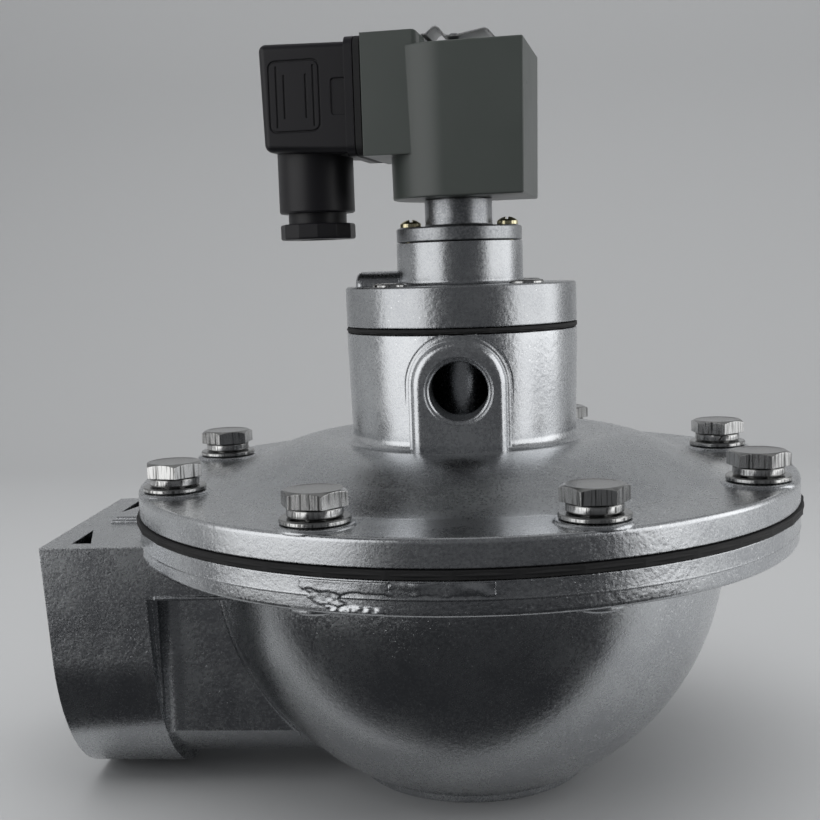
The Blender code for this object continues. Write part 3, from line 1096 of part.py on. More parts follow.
def flange_bolts(parent):
    """Eight bolts, each with a split spring washer and a flat washer on its raised seat."""
    washer_z = COVER_RIM_TOP + SEAT_PAD_H + FIT_GAP
    spring_z = washer_z + WASHER_T + FIT_GAP
    head_z = spring_z + SPRING_WASHER_T + FIT_GAP
    hole_r = BOLT_R + FIT_GAP

    flat = [(hole_r, 0.0), (WASHER_R, 0.0), (WASHER_R, WASHER_T), (hole_r, WASHER_T)]
    start = math.radians(SPRING_WASHER_GAP / 2)
    first = None
    for number, (x, y, _) in enumerate(bolt_places(), 1):
        if first is None:
            washer = add_object("flat_washer_1", turned(flat, SMALL_STEPS), "zinc_steel", parent, (x, y, washer_z))
            ring = bmesh.new()
            corners = [(hole_r, 0.0), (SPRING_WASHER_R, 0.0), (SPRING_WASHER_R, SPRING_WASHER_T),
                       (hole_r, SPRING_WASHER_T)]
            face = ring.faces.new([ring.verts.new((r * math.cos(start), r * math.sin(start), z))
                                   for r, z in corners])
            bmesh.ops.spin(ring, geom=[face], axis=(0, 0, 1), cent=(0, 0, 0),
                           angle=math.tau - 2 * start, steps=SMALL_STEPS, use_duplicate=False)
            split = add_object("spring_washer_1", ring, "zinc_steel", parent, (x, y, spring_z))
            split.rotation_euler = (0.0, 0.0, math.radians(SPLIT_TURNS[0]))
            bolt = add_object("flange_bolt_1", bolt_head(), "zinc_steel", parent, (x, y, head_z))
            bolt.rotation_euler = (0.0, 0.0, math.radians(HEAD_TURNS[0]))
            join(bolt, rod(BOLT_R, -BOLT_LENGTH, MM, SMALL_STEPS), "bolt_shank")
            first = (washer, split, bolt)
            continue
        washer, split, bolt = first
        copy_object(washer, f"flat_washer_{number}", (x, y, washer_z))
        copy_object(split, f"spring_washer_{number}", (x, y, spring_z), SPLIT_TURNS[number - 1])
        twin = copy_object(bolt, f"flange_bolt_{number}", (x, y, head_z), HEAD_TURNS[number - 1])
        join(twin, rod(BOLT_R, -BOLT_LENGTH, MM, SMALL_STEPS), f"bolt_shank_{number}")


def build():
    clear_scene()
    axis = add_empty("valve_axis", (AXIS_X, 0.0, 0.0))
    main_lift = add_empty("main_lift_axis", (0.0, 0.0, 0.0), axis)
    pilot_lift = add_empty("pilot_lift_axis", (0.0, 0.0, 0.0), axis)
    plunger_lift = add_empty("plunger_lift_axis", (0.0, 0.0, 0.0), axis)
    swivel = add_empty("coil_swivel_axis", (0.0, 0.0, 0.0), axis, COIL_TURN)

    valve_body(axis)
    top_cover(axis)
    main_valve(axis, main_lift)
    pilot_valve(axis, pilot_lift)
    pilot_lid(axis)
    lid_screws(axis)
    stem(axis)
    plunger(axis, plunger_lift)
    coil(swivel)
    coil_clip(swivel)
    plug(swivel)
    flange_bolts(axis)


build()
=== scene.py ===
import json
import math

import bmesh
import bpy
from mathutils import Matrix, Vector, noise


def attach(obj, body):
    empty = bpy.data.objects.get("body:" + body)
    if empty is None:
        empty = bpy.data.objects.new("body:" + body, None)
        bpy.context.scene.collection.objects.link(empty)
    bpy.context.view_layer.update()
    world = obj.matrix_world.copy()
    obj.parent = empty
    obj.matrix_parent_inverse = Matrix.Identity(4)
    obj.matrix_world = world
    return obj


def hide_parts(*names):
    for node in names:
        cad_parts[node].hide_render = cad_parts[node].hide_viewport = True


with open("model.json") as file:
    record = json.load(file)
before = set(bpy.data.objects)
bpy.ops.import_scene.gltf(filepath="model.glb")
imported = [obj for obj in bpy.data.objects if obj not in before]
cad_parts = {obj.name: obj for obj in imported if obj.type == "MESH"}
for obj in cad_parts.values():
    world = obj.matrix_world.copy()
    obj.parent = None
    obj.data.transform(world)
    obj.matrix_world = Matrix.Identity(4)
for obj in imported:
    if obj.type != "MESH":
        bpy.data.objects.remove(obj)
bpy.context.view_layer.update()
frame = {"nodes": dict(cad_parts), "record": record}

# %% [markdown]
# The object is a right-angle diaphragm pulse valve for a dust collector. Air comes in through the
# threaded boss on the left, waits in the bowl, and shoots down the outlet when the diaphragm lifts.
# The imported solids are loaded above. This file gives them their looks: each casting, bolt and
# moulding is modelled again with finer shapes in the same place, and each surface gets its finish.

# %% [markdown]
# Sizes are written in millimetres, as a fitter would measure them, and turned to metres once.
# The valve's own axis stands 9.5 mm to the right of the frame's middle, because the inlet boss
# sticks out on the left. Every piece is modelled round the axis and then settled in its place.

# %% Units and the valve's axis
MM = 0.001
AXIS_X = 9.5
COIL_TURN = -7.4

# %% [markdown]
# A few helpers keep the cells short. Operators work on whatever is selected, so everything is
# deselected before a primitive is added, and edges or faces are then picked by their place.

# %% Selecting
def clear_selection():
    if bpy.context.mode != "OBJECT":
        bpy.ops.object.mode_set(mode="OBJECT")
    bpy.ops.object.select_all(action="DESELECT")


def select_only(obj):
    clear_selection()
    obj.select_set(True)
    bpy.context.view_layer.objects.active = obj


def edit(obj):
    select_only(obj)
    bpy.ops.object.mode_set(mode="EDIT")


def done():
    bpy.ops.object.mode_set(mode="OBJECT")


def pick(kind, test):
    """In edit mode, select the vertices, edges or faces whose corners pass the test (in mm)."""
    bpy.ops.mesh.select_mode(type=kind)
    bpy.ops.mesh.select_all(action="DESELECT")
    mesh = bmesh.from_edit_mesh(bpy.context.object.data)
    for item in {"VERT": mesh.verts, "EDGE": mesh.edges, "FACE": mesh.faces}[kind]:
        corners = [item] if kind == "VERT" else item.verts
        item.select_set(test([corner.co * 1000 for corner in corners]))
    mesh.select_flush_mode()
    bmesh.update_edit_mesh(bpy.context.object.data)


# %% [markdown]
# Turned and round cast shapes all start the same way: one vertex is walked along half of the
# section, and the line is spun round the axis. A lathe or a turned casting core does just that.

# %% Primitives and spinning a section
def primitive(name, add, **settings):
    """Add a primitive with nothing else selected, and keep its place in its mesh."""
    clear_selection()
    add(**settings)
    obj = bpy.context.object
    obj.name = name
    bpy.ops.object.transform_apply(location=True, rotation=True, scale=True)
    return obj


def walk(name, points):
    """Walk one vertex along (x, y, z) points in mm, and stay in edit mode with all selected."""
    obj = primitive(name, bpy.ops.mesh.primitive_circle_add, vertices=3, radius=MM)
    edit(obj)
    bpy.ops.mesh.select_mode(type="VERT")
    bpy.ops.mesh.select_all(action="SELECT")
    bpy.ops.mesh.merge(type="CENTER")
    bpy.ops.transform.translate(value=[c * MM for c in points[0]])
    for here, there in zip(points, points[1:]):
        step = [(b - a) * MM for a, b in zip(here, there)]
        bpy.ops.mesh.extrude_vertices_move(TRANSFORM_OT_translate={"value": step})
    bpy.ops.mesh.select_all(action="SELECT")
    return obj


def arc(middle_r, middle_z, radius, start, end, steps):
    """Points of a round in a section, from one angle to another in degrees."""
    angles = [math.radians(start + (end - start) * i / steps) for i in range(steps + 1)]
    return [(middle_r + radius * math.cos(a), middle_z + radius * math.sin(a)) for a in angles]


def spun(name, section, steps):
    """Walk along (radius, height) points in mm, then spin the line round Z."""
    obj = walk(name, [(r, 0, z) for r, z in section])
    bpy.ops.mesh.spin(steps=steps, angle=math.tau, center=(0, 0, 0), axis=(0, 0, 1))
    bpy.ops.mesh.select_all(action="SELECT")
    bpy.ops.mesh.remove_doubles(threshold=2e-6)
    bpy.ops.mesh.normals_make_consistent(inside=False)
    done()
    return obj


# %% [markdown]
# Square shapes start as a cube that is stretched in edit mode. Its edges are then picked by place
# and bevelled. A bevel as wide as half the block turns its side into a half round.

# %% Blocks and rounded edges
def block(name, low, high):
    obj = primitive(name, bpy.ops.mesh.primitive_cube_add, size=1)
    edit(obj)
    bpy.ops.transform.resize(value=[(b - a) * MM for a, b in zip(low, high)])
    bpy.ops.transform.translate(value=[(a + b) / 2 * MM for a, b in zip(low, high)])
    done()
    return obj


def along(axis, least=0.5):
    """A test for edges that run along X (0), Y (1) or Z (2)."""
    return lambda points: abs(points[0][axis] - points[1][axis]) > least


def bevel(obj, width, segments, test):
    """Round the edges whose two end points pass the test."""
    edit(obj)
    pick("EDGE", test)
    bpy.ops.mesh.bevel(offset=width * MM, offset_type="OFFSET", segments=segments,
                       affect="EDGES", profile=0.5)
    bpy.ops.mesh.select_all(action="SELECT")
    bpy.ops.mesh.remove_doubles(threshold=0.025 * MM)
    done()


def taper(obj, factor, centre, test):
    """Scale the picked vertices about a point: the draft that lets a casting or moulding out."""
    edit(obj)
    pick("VERT", test)
    bpy.ops.transform.resize(value=factor, center_override=[c * MM for c in centre])
    done()


def shift(obj, step, test):
    """Move the picked vertices by a step in mm."""
    edit(obj)
    pick("VERT", test)
    bpy.ops.transform.translate(value=[s * MM for s in step])
    done()


# %% [markdown]
# Parts of one casting are melted together with a Boolean modifier, and holes are drilled with one.
# A turned tool that must lie on its side is laid down first. A piece that is cut by a plane gets
# its cut face filled, and a mirrored or thickened one gets its faces turned outward again.

# %% Joining, cutting, laying down and copying
def combine(obj, tool, operation="UNION"):
    modifier = obj.modifiers.new("combine", "BOOLEAN")
    modifier.operation = operation
    modifier.solver = "EXACT"
    modifier.object = tool
    select_only(obj)
    bpy.ops.object.modifier_apply(modifier=modifier.name)
    bpy.data.objects.remove(tool, do_unlink=True)


def cut(obj, tool):
    combine(obj, tool, "DIFFERENCE")


def face_outward(obj):
    edit(obj)
    bpy.ops.mesh.select_all(action="SELECT")
    bpy.ops.mesh.normals_make_consistent(inside=False)
    done()


def cut_away(obj, place, direction):
    """Cut along a plane through a place in mm, and drop what lies on the side it faces."""
    edit(obj)
    bpy.ops.mesh.select_all(action="SELECT")
    bpy.ops.mesh.bisect(plane_co=[c * MM for c in place], plane_no=direction,
                        use_fill=True, clear_outer=True)
    done()


def keep_place(obj, at, angles):
    """Turn a piece, move it to a place in mm, and keep both in its mesh."""
    select_only(obj)
    obj.rotation_euler = angles
    obj.location = [c * MM for c in at]
    bpy.ops.object.transform_apply(location=True, rotation=True, scale=True)
    return obj


def settle(obj, at, turn=0.0):
    """Turn a piece about its own Z, in degrees, and place it."""
    return keep_place(obj, at, (0.0, 0.0, math.radians(turn)))


def lay_down(obj, axis, at):
    """Lay a turned piece on its side so that its top points along -X or -Y, and place it."""
    quarter = math.pi / 2
    return keep_place(obj, at, {"-X": (0, -quarter, 0), "-Y": (quarter, 0, 0)}[axis])


def copied(obj, name):
    twin = obj.copy()
    twin.data = obj.data.copy()
    twin.name = name
    bpy.context.scene.collection.objects.link(twin)
    return twin


def drill(obj, places, radius, low, high, steps=32):
    """Drill round holes at (x, y) places from one height to another."""
    for x, y in places:
        bit = spun("drill_bit", [(0, low), (radius, low), (radius, high), (0, high)], steps)
        cut(obj, settle(bit, (x, y, 0)))


def ring_of(count, radius, first):
    """Places on a circle, as (x, y), from a first angle in degrees."""
    angles = [math.radians(first + 360.0 * i / count) for i in range(count)]
    return [(radius * math.cos(a), radius * math.sin(a)) for a in angles]


# %% [markdown]
# Colours are written as the sRGB hex codes that a paint or photo program shows. Blender works in
# linear light, so one function turns them over. One more adds a node with its settings and links,
# and short ones on top of it add the nodes that every finish needs: a noise pattern, a ramp, a sum
# and a blend of two colours.

# %% Colours and nodes
def colour(code):
    values = [int(code[i:i + 2], 16) / 255 for i in (1, 3, 5)]
    linear = [v / 12.92 if v <= 0.04045 else ((v + 0.055) / 1.055) ** 2.4 for v in values]
    return (*linear, 1.0)


def node(tree, kind, settings):
    """Add a node and set its properties and sockets. Another node's output is linked.

    A socket is named, or numbered where a node has several of one name: a colour Mix has its two
    colours in sockets 6 and 7 and its result in output 2.
    """
    made = tree.nodes.new(kind)
    for key, value in settings.items():
        if isinstance(value, bpy.types.NodeSocket):
            tree.links.new(value, made.inputs[key])
        elif isinstance(key, int) or key in made.inputs:
            made.inputs[key].default_value = value
        else:
            setattr(made, key, value)
    return made


def per_metre(size_mm):
    """Texture scale whose features are about this many millimetres across."""
    return 1000.0 / size_mm


def pattern(tree, vector, size_mm, detail, roughness=0.5):
    made = node(tree, "ShaderNodeTexNoise", {"Scale": per_metre(size_mm), "Detail": detail,
                                             "Roughness": roughness, "Vector": vector})
    return made.outputs["Fac"]


def ramp(tree, value, start, end, low=0.0, high=1.0):
    """Turn a value from start to end into one from low to high, and hold it there beyond."""
    made = node(tree, "ShaderNodeMapRange", {"From Min": start, "From Max": end, "To Min": low,
                                             "To Max": high, "Value": value})
    return made.outputs[0]


def maths(tree, operation, *values):
    made = node(tree, "ShaderNodeMath", {"operation": operation, **dict(enumerate(values))})
    return made.outputs[0]


def mixed(tree, factor, first, second):
    """Blend two colours. Each is a hex code or another node's output."""
    first, second = (colour(c) if isinstance(c, str) else c for c in (first, second))
    made = node(tree, "ShaderNodeMix", {"data_type": "RGBA", 0: factor, 6: first, 7: second})
    return made.outputs[2]


def new_material(name):
    """A material with an empty board, its shader, and its object coordinates."""
    material = bpy.data.materials.new(name)
    material.use_nodes = True
    tree = material.node_tree
    coords = node(tree, "ShaderNodeTexCoord", {}).outputs["Object"]
    return material, tree, tree.nodes["Principled BSDF"], coords


def set_skin(tree, shader, base, roughness, height, strength, depth_mm, edge_mm, samples=4):
    """Link a colour, a roughness, and a bump that follows a pattern over softened edges."""
    edges = node(tree, "ShaderNodeBevel", {"samples": samples, "Radius": edge_mm * MM})
    bump = node(tree, "ShaderNodeBump", {"Strength": strength, "Distance": depth_mm * MM,
                                         "Height": height, "Normal": edges.outputs[0]})
    for socket, output in (("Base Color", base), ("Roughness", roughness), ("Normal", bump.outputs[0])):
        tree.links.new(output, shader.inputs[socket])


# %% [markdown]
# Die-cast aluminium comes out of a steel die. The melt chills as it runs, so the skin has cloudy
# flow marks and a fine orange-peel grain of about a millimetre. Handling adds short scratches and
# small pits. A metal keeps the default IOR, and its colour comes from its base colour. The Bevel
# node rounds the look of each edge, as the small fillets of a casting do.

# %% Die-cast aluminium
def cast_aluminium(name, light, dark, smoothness, grain, wear):
    material, tree, shader, coords = new_material(name)
    speckle = pattern(tree, coords, 0.55, 2.0, 0.7)
    clouds = maths(tree, "MULTIPLY_ADD", pattern(tree, coords, 14, 4.0, 0.6), 0.8, speckle)
    skin = mixed(tree, ramp(tree, clouds, 0.70, 1.10), dark, light)

    peened = ramp(tree, pattern(tree, coords, 34, 2.0), 0.45, 0.65, 0.35, 1.3)
    drawn_out = node(tree, "ShaderNodeMapping", {"Rotation": (0.5, 0.9, 0.4),
                                                 "Scale": (1.0, 0.2, 1.0), "Vector": coords})
    streaks = pattern(tree, drawn_out.outputs[0], 0.6, 1.0)
    clustered = maths(tree, "MULTIPLY_ADD", peened, 0.12, streaks)
    scratch = ramp(tree, clustered, 0.815, 0.86, 0.0, 0.5)
    worn = mixed(tree, scratch, skin, "#f0f1f2")
    cells = node(tree, "ShaderNodeTexVoronoi", {"Scale": per_metre(7.5), "Vector": coords})
    pit = ramp(tree, cells.outputs["Distance"], 0.05, 0.02, 0.0, 0.45)
    pitted = mixed(tree, pit, worn, "#77787a")

    relief = maths(tree, "MULTIPLY", pattern(tree, coords, 1.4, 1.0), peened)
    relief = maths(tree, "MULTIPLY_ADD", speckle, 0.55, relief)
    relief = maths(tree, "MULTIPLY_ADD", scratch, -wear, relief)
    shader.inputs["Metallic"].default_value = 1.0
    set_skin(tree, shader, pitted, ramp(tree, clouds, 0.70, 1.10, *smoothness),
             relief, grain, 0.08, 0.35, samples=6)
    return material


BODY_SKIN = cast_aluminium("die_cast_aluminium_body", "#c3c5c7", "#acaeb1", (0.21, 0.31), 0.75, 0.4)
COVER_SKIN = cast_aluminium("die_cast_aluminium_cover", "#c6c8ca", "#afb1b4", (0.23, 0.32), 0.60, 0.3)
PILOT_SKIN = cast_aluminium("die_cast_aluminium_pilot", "#b2b4b6", "#9c9ea1", (0.23, 0.32), 0.75, 0.1)
STEM_SKIN = cast_aluminium("aluminium_stem", "#a9abad", "#7b7d80", (0.30, 0.40), 0.80, 0.1)
print("casting skins:", *(skin.name for skin in (BODY_SKIN, COVER_SKIN, PILOT_SKIN, STEM_SKIN)))

# %% [markdown]
# Turned faces carry fine rings from the lathe tool, about a third of a millimetre apart. Rings
# round the valve's axis follow the distance from it, so the pattern is a wave of that distance.

# %% Turned aluminium and steel
def turned_metal(name, light, dark, roughness, ring_mm, depth):
    material, tree, shader, coords = new_material(name)
    centred = node(tree, "ShaderNodeMapping", {"Location": (-AXIS_X * MM, 0.0, 0.0), "Vector": coords})
    rings = node(tree, "ShaderNodeTexWave", {"wave_type": "RINGS", "rings_direction": "Z",
                                             "Scale": 50 / ring_mm, "Distortion": 0.4, "Detail": 1.0,
                                             "Vector": centred.outputs[0]})
    stain = pattern(tree, coords, 7, 3.0)
    shader.inputs["Metallic"].default_value = 1.0
    set_skin(tree, shader, mixed(tree, stain, dark, light), ramp(tree, stain, 0.0, 1.0, *roughness),
             rings.outputs["Fac"], depth, 0.05, 0.3)
    return material


TURNED = turned_metal("turned_aluminium", "#c8cacc", "#b2b4b7", (0.24, 0.34), 0.35, 0.15)
STAINLESS = turned_metal("turned_stainless_steel", "#bfbfbe", "#a9a8a7", (0.20, 0.30), 0.25, 0.10)

# %% [markdown]
# Bolts are cold headed from wire and zinc plated. The sides of the head show upright draw marks,
# and the plating is bright. Faces that lie level take a plain colour that is darker than the sides:
# painted shade. Small screws on the stem are zinc plated and yellow passivated.

# %% Zinc plate
def zinc_plate(name, light, dark, shaded_level_colour, roughness):
    material, tree, shader, coords = new_material(name)
    squeezed = node(tree, "ShaderNodeMapping", {"Scale": (1.0, 1.0, 0.05), "Vector": coords})
    marks = pattern(tree, squeezed.outputs[0], 0.55, 2.0, 0.7)
    facing = node(tree, "ShaderNodeNewGeometry", {}).outputs["True Normal"]
    upright = node(tree, "ShaderNodeSeparateXYZ", {"Vector": facing}).outputs["Z"]
    # Upright faces carry the draw marks. Level faces take the plain colour, which is darker: painted
    # shade on tops and undersides.
    side = ramp(tree, maths(tree, "ABSOLUTE", upright), 0.3, 0.2)
    drawn = mixed(tree, ramp(tree, marks, 0.36, 0.52), dark, light)
    shader.inputs["Metallic"].default_value = 1.0
    set_skin(tree, shader, mixed(tree, side, shaded_level_colour, drawn), ramp(tree, marks, 0.0, 1.0, *roughness),
             maths(tree, "MULTIPLY", marks, side), 0.45, 0.04, 0.25)
    return material


# The third colour of each plate is the darker plain tone of its level faces: painted shade.
ZINC = zinc_plate("bright_zinc_plate", "#c6c6c5", "#626261", "#989897", (0.16, 0.28))
YELLOW_ZINC = zinc_plate("yellow_zinc_plate", "#d3cbaa", "#8f8768", "#bfb794", (0.18, 0.30))
SPRING = zinc_plate("bright_spring_steel", "#b4b4b4", "#8c8c8d", "#a4a4a5", (0.26, 0.38))
BRASS = zinc_plate("plain_brass", "#d9bf7c", "#b99a55", "#cdb06c", (0.22, 0.34))

# %% [markdown]
# The coil is moulded in a filled resin, matt and grey-green, with faint flow clouds. The plug is
# glass-filled nylon, nearly black with a violet cast and a satin skin. Rubber parts are matt black
# nitrile. None of them is a metal, and their IOR is 1.4 to 1.55.

# %% Mouldings and rubber
def moulded(name, light, dark, roughness, ior, cloud_mm, grain_mm, grain, edge_mm):
    material, tree, shader, coords = new_material(name)
    clouds = pattern(tree, coords, cloud_mm, 3.0)
    shader.inputs["IOR"].default_value = ior
    set_skin(tree, shader, mixed(tree, clouds, dark, light), ramp(tree, clouds, 0.0, 1.0, *roughness),
             pattern(tree, coords, grain_mm, 2.0), grain, 0.04, edge_mm)
    return material


RESIN = moulded("moulded_coil_resin", "#3f4441", "#383d3a", (0.34, 0.46), 1.55, 18, 0.35, 0.20, 0.4)
NYLON = moulded("glass_filled_nylon", "#121115", "#0d0c10", (0.36, 0.48), 1.40, 14, 0.30, 0.30, 0.35)
RUBBER = moulded("nitrile_rubber", "#141415", "#0e0e0f", (0.60, 0.80), 1.50, 8, 0.40, 0.30, 0.15)
SEAT = moulded("seat_polymer", "#3a3a3d", "#2e2e31", (0.45, 0.60), 1.50, 8, 0.40, 0.20, 0.15)

# %% [markdown]
# Inner pieces are not seen in the photograph, but they are part of the valve. Each keeps its own
# solid and gets the finish of its slot.

# %% Finishes for every solid of the frame
BY_SLOT = {
    "cast_aluminium": BODY_SKIN,
    "cover_aluminium": COVER_SKIN,
    "machined_aluminium": TURNED,
    "diaphragm_rubber": RUBBER,
    "seat_polymer": SEAT,
    "zinc_steel": ZINC,
    "yellow_zinc_steel": YELLOW_ZINC,
    "spring_steel": SPRING,
    "stainless_steel": STAINLESS,
    "contact_brass": BRASS,
    "coil_resin": RESIN,
    "plug_nylon": NYLON,
}
slot_of = {item["node"]: item["material_slot"] for item in frame["record"]["subparts"]}
for name, solid in frame["nodes"].items():
    solid.data.materials.clear()
    solid.data.materials.append(BY_SLOT[slot_of[name]])
print(len(slot_of), "solids have their finish")

# %% [markdown]
# Each finished piece rides on the body that it belongs to, takes one finish, and stands for the
# plain solid of its name. Its flat faces stay flat and its rounds are smooth.

# %% Handing a piece over
def hand_over(obj, body, slot, finish, *nodes, smooth=28.0):
    settle(obj, (AXIS_X, 0.0, 0.0), COIL_TURN if body == "coil" else 0.0)
    obj.data.materials.clear()
    obj.data.materials.append(finish)
    for face in obj.data.polygons:
        face.material_index = 0
    select_only(obj)
    bpy.ops.object.shade_smooth_by_angle(angle=math.radians(smooth))
    level_faces = obj.modifiers.new("level_faces", "WEIGHTED_NORMAL")
    level_faces.keep_sharp = True
    level_faces.weight = 80
    bpy.ops.object.modifier_apply(modifier=level_faces.name)
    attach(obj, body)
    if nodes:
        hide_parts(*nodes)
    print(obj.name, "faces:", len(obj.data.polygons))
    return obj


# %% [markdown]
# The photograph was taken from a little below the coil, looking slightly down, with the camera
# turned a few degrees. Its place was found by matching circles and corners of known size.

# %% Camera
LENS_PX = 1234.8
YAW, PITCH, ROLL = (math.radians(a) for a in (-4.705, 6.561, -1.834))
CAMERA_AT = (12.428 + AXIS_X, -324.832, 132.867)

ahead = Vector((math.sin(YAW) * math.cos(PITCH), math.cos(YAW) * math.cos(PITCH), -math.sin(PITCH)))
level = Vector((math.cos(YAW), -math.sin(YAW), 0.0))
upward = level.cross(ahead)
right = math.cos(ROLL) * level + math.sin(ROLL) * upward
top = math.cos(ROLL) * upward - math.sin(ROLL) * level
pose = Matrix((right, top, -ahead)).transposed().to_4x4()
pose.translation = Vector(CAMERA_AT) * MM
lens = bpy.data.cameras.new("camera")
lens.sensor_width = 36.0
lens.lens = 36.0 * LENS_PX / 820
lens.clip_start = 0.01
camera = bpy.data.objects.new("camera", lens)
camera.matrix_world = pose
bpy.context.scene.collection.objects.link(camera)
bpy.context.scene.camera = camera
print("lens in mm:", round(lens.lens, 2))

# %% [markdown]
# The valve stands on a pale sweep: a floor that curves up into a wall, so that no line shows
# behind the object. It is a plane whose far edge is extruded up in steps. In the photograph the
# table ends just in front of the valve, nearer on the left than on the right, and the metal mirrors
# the dark room beyond. The camera must still see a whole floor, so the floor lets mirrored rays
# through in front of that line. Mirrored rays also see the paper lighter than the camera does:
# a painted reflection of the floor in the metal.

# %% Floor and wall
FLOOR_HALF = 900.0
FLOOR_FRONT = -380.0
TABLE_EDGE = -52.0
TABLE_SLANT = 0.22
SWEEP_R = 300.0
SWEEP_START = 500.0
PAPER = "#a9aaab"
# Lighter than PAPER. The floor shows it only to mirrored rays, as a painted reflection; the room behind
# the valve also glows with it.
PAPER_IN_METAL = "#b4b5b6"
sweep = primitive("pale_sweep", bpy.ops.mesh.primitive_plane_add, size=1)
edit(sweep)
bpy.ops.transform.resize(value=(2 * FLOOR_HALF * MM, (SWEEP_START - FLOOR_FRONT) * MM, 1))
bpy.ops.transform.translate(value=(0, (SWEEP_START + FLOOR_FRONT) / 2 * MM, 0))
pick("EDGE", lambda points: all(p.y > SWEEP_START - 1 for p in points))
before = (0.0, 0.0)
for step in range(1, 17):
    angle = math.radians(90.0 * step / 16)
    here = (SWEEP_R * math.sin(angle), SWEEP_R * (1 - math.cos(angle)))
    move = (0, (here[0] - before[0]) * MM, (here[1] - before[1]) * MM)
    bpy.ops.mesh.extrude_region_move(TRANSFORM_OT_translate={"value": move})
    before = here
bpy.ops.mesh.extrude_region_move(TRANSFORM_OT_translate={"value": (0, 0, 1.0)})
bpy.ops.mesh.select_all(action="SELECT")
bpy.ops.mesh.normals_make_consistent(inside=False)
done()
bpy.ops.object.shade_smooth()
paper, tree, shader, coords = new_material("pale_paper")
mirrored = node(tree, "ShaderNodeLightPath", {}).outputs["Is Glossy Ray"]
# Mirrored rays see the paper in a lighter colour than the camera does: painted reflection.
tree.links.new(mixed(tree, mirrored, PAPER, PAPER_IN_METAL), shader.inputs["Base Color"])
shader.inputs["Roughness"].default_value = 0.9
shader.inputs["Specular IOR Level"].default_value = 0.2
place = node(tree, "ShaderNodeSeparateXYZ", {"Vector": coords})
across = maths(tree, "MULTIPLY_ADD", place.outputs["X"], TABLE_SLANT, place.outputs["Y"])
beyond = ramp(tree, across, (TABLE_EDGE + 1.5) * MM, (TABLE_EDGE - 1.5) * MM)
opened = maths(tree, "MULTIPLY", mirrored, beyond)
clear = node(tree, "ShaderNodeBsdfTransparent", {})
surface = node(tree, "ShaderNodeMixShader", {0: opened, 1: shader.outputs[0], 2: clear.outputs[0]})
tree.links.new(surface.outputs[0], tree.nodes["Material Output"].inputs["Surface"])
sweep.data.materials.append(paper)

# %% [markdown]
# Two wide soft boxes stand left and right of the camera and make the two bright bands on every
# round piece. A third hangs above and lights the floor. The room between the boxes is dark below
# and grey above the eye line, so the middle of the round metal goes dark too. The camera sees the
# paper's tone past the floor's end.

# %% Lamps and room
LAMPS = {
    "left_softbox": ((-0.69, -0.46, 0.28), (0.88, 0.90), 3.8),
    "right_softbox": ((0.82, -0.14, 0.28), (0.95, 0.90), 4.3),
    "top_softbox": ((0.0, -0.15, 1.10), (1.6, 1.3), 16.0),
}
VALVE_MIDDLE = Vector((0.01, 0.0, 0.09))
for name, (place, size, power) in LAMPS.items():
    light = bpy.data.lights.new(name, "AREA")
    light.shape = "RECTANGLE"
    light.size, light.size_y = size
    light.energy = power
    lamp = bpy.data.objects.new(name, light)
    lamp.location = place
    lamp.rotation_euler = (VALVE_MIDDLE - Vector(place)).to_track_quat("-Z", "Y").to_euler()
    lamp.visible_camera = False
    lamp.visible_glossy = name != "top_softbox"
    bpy.context.scene.collection.objects.link(lamp)

world = bpy.data.worlds.new("room")
bpy.context.scene.world = world
world.use_nodes = True
tree = world.node_tree
background = tree.nodes["Background"]
direction = node(tree, "ShaderNodeTexCoord", {}).outputs["Generated"]
facing = node(tree, "ShaderNodeSeparateXYZ", {"Vector": direction})
behind = node(tree, "ShaderNodeMapRange", {"interpolation_type": "SMOOTHSTEP", "From Min": -0.05,
                                           "From Max": 0.15, "Value": facing.outputs["Y"]})
front = mixed(tree, ramp(tree, facing.outputs["Z"], -0.35, -0.08), "#343537", "#626365")
walls = mixed(tree, behind.outputs[0], front, PAPER_IN_METAL)
seen = node(tree, "ShaderNodeLightPath", {}).outputs["Is Camera Ray"]
tree.links.new(mixed(tree, seen, walls, PAPER), background.inputs["Color"])
background.inputs["Strength"].default_value = 1.0
bpy.context.scene.view_settings.view_transform = "Standard"

# %% [markdown]
# The body is one die casting: a round bowl that hangs from the bolt flange, an outlet ring below,
# and the inlet boss on the left. The bowl, ring and flange are spun from one section. A thin step
# half way down the flange is the line where the two halves of the die met.

# %% Body: bowl, outlet ring and flange
FLANGE_R = 85.2
BODY_TOP = 70.85
FLANGE_LOW = 62.95
BOWL_R = 67.0
BOWL_Z = 61.5
PORT_OUTER_R = 30.7
THREAD_R = 23.9
BORE_R = 20.0
SEAT_Z = 66.0
FILLET = 3.0

ring_top = BOWL_Z - math.sqrt(BOWL_R ** 2 - PORT_OUTER_R ** 2)
bowl_start = math.degrees(math.atan2(ring_top - BOWL_Z, PORT_OUTER_R))
bowl_end = math.degrees(math.asin((FLANGE_LOW - FILLET - BOWL_Z) / BOWL_R))
under_r = BOWL_R * math.cos(math.radians(bowl_end)) + FILLET
section = [(0, 0), (PORT_OUTER_R - 0.5, 0), (PORT_OUTER_R, 0.5)]
section += arc(0, BOWL_Z, BOWL_R, bowl_start, bowl_end, 40)
section += arc(under_r, FLANGE_LOW - FILLET, FILLET, 180, 90, 6)[1:]
section += arc(FLANGE_R - 1.4, FLANGE_LOW + 1.2, 1.2, -90, 0, 4)
section += [(FLANGE_R - 0.2, 66.6), (FLANGE_R + 0.1, 66.85), (FLANGE_R, 67.05)]
section += [(FLANGE_R, BODY_TOP - 0.2), (FLANGE_R - 0.2, BODY_TOP), (0, BODY_TOP)]
body = spun("valve_body_casting", section, 192)
print("bowl casting:", len(body.data.polygons), "faces")

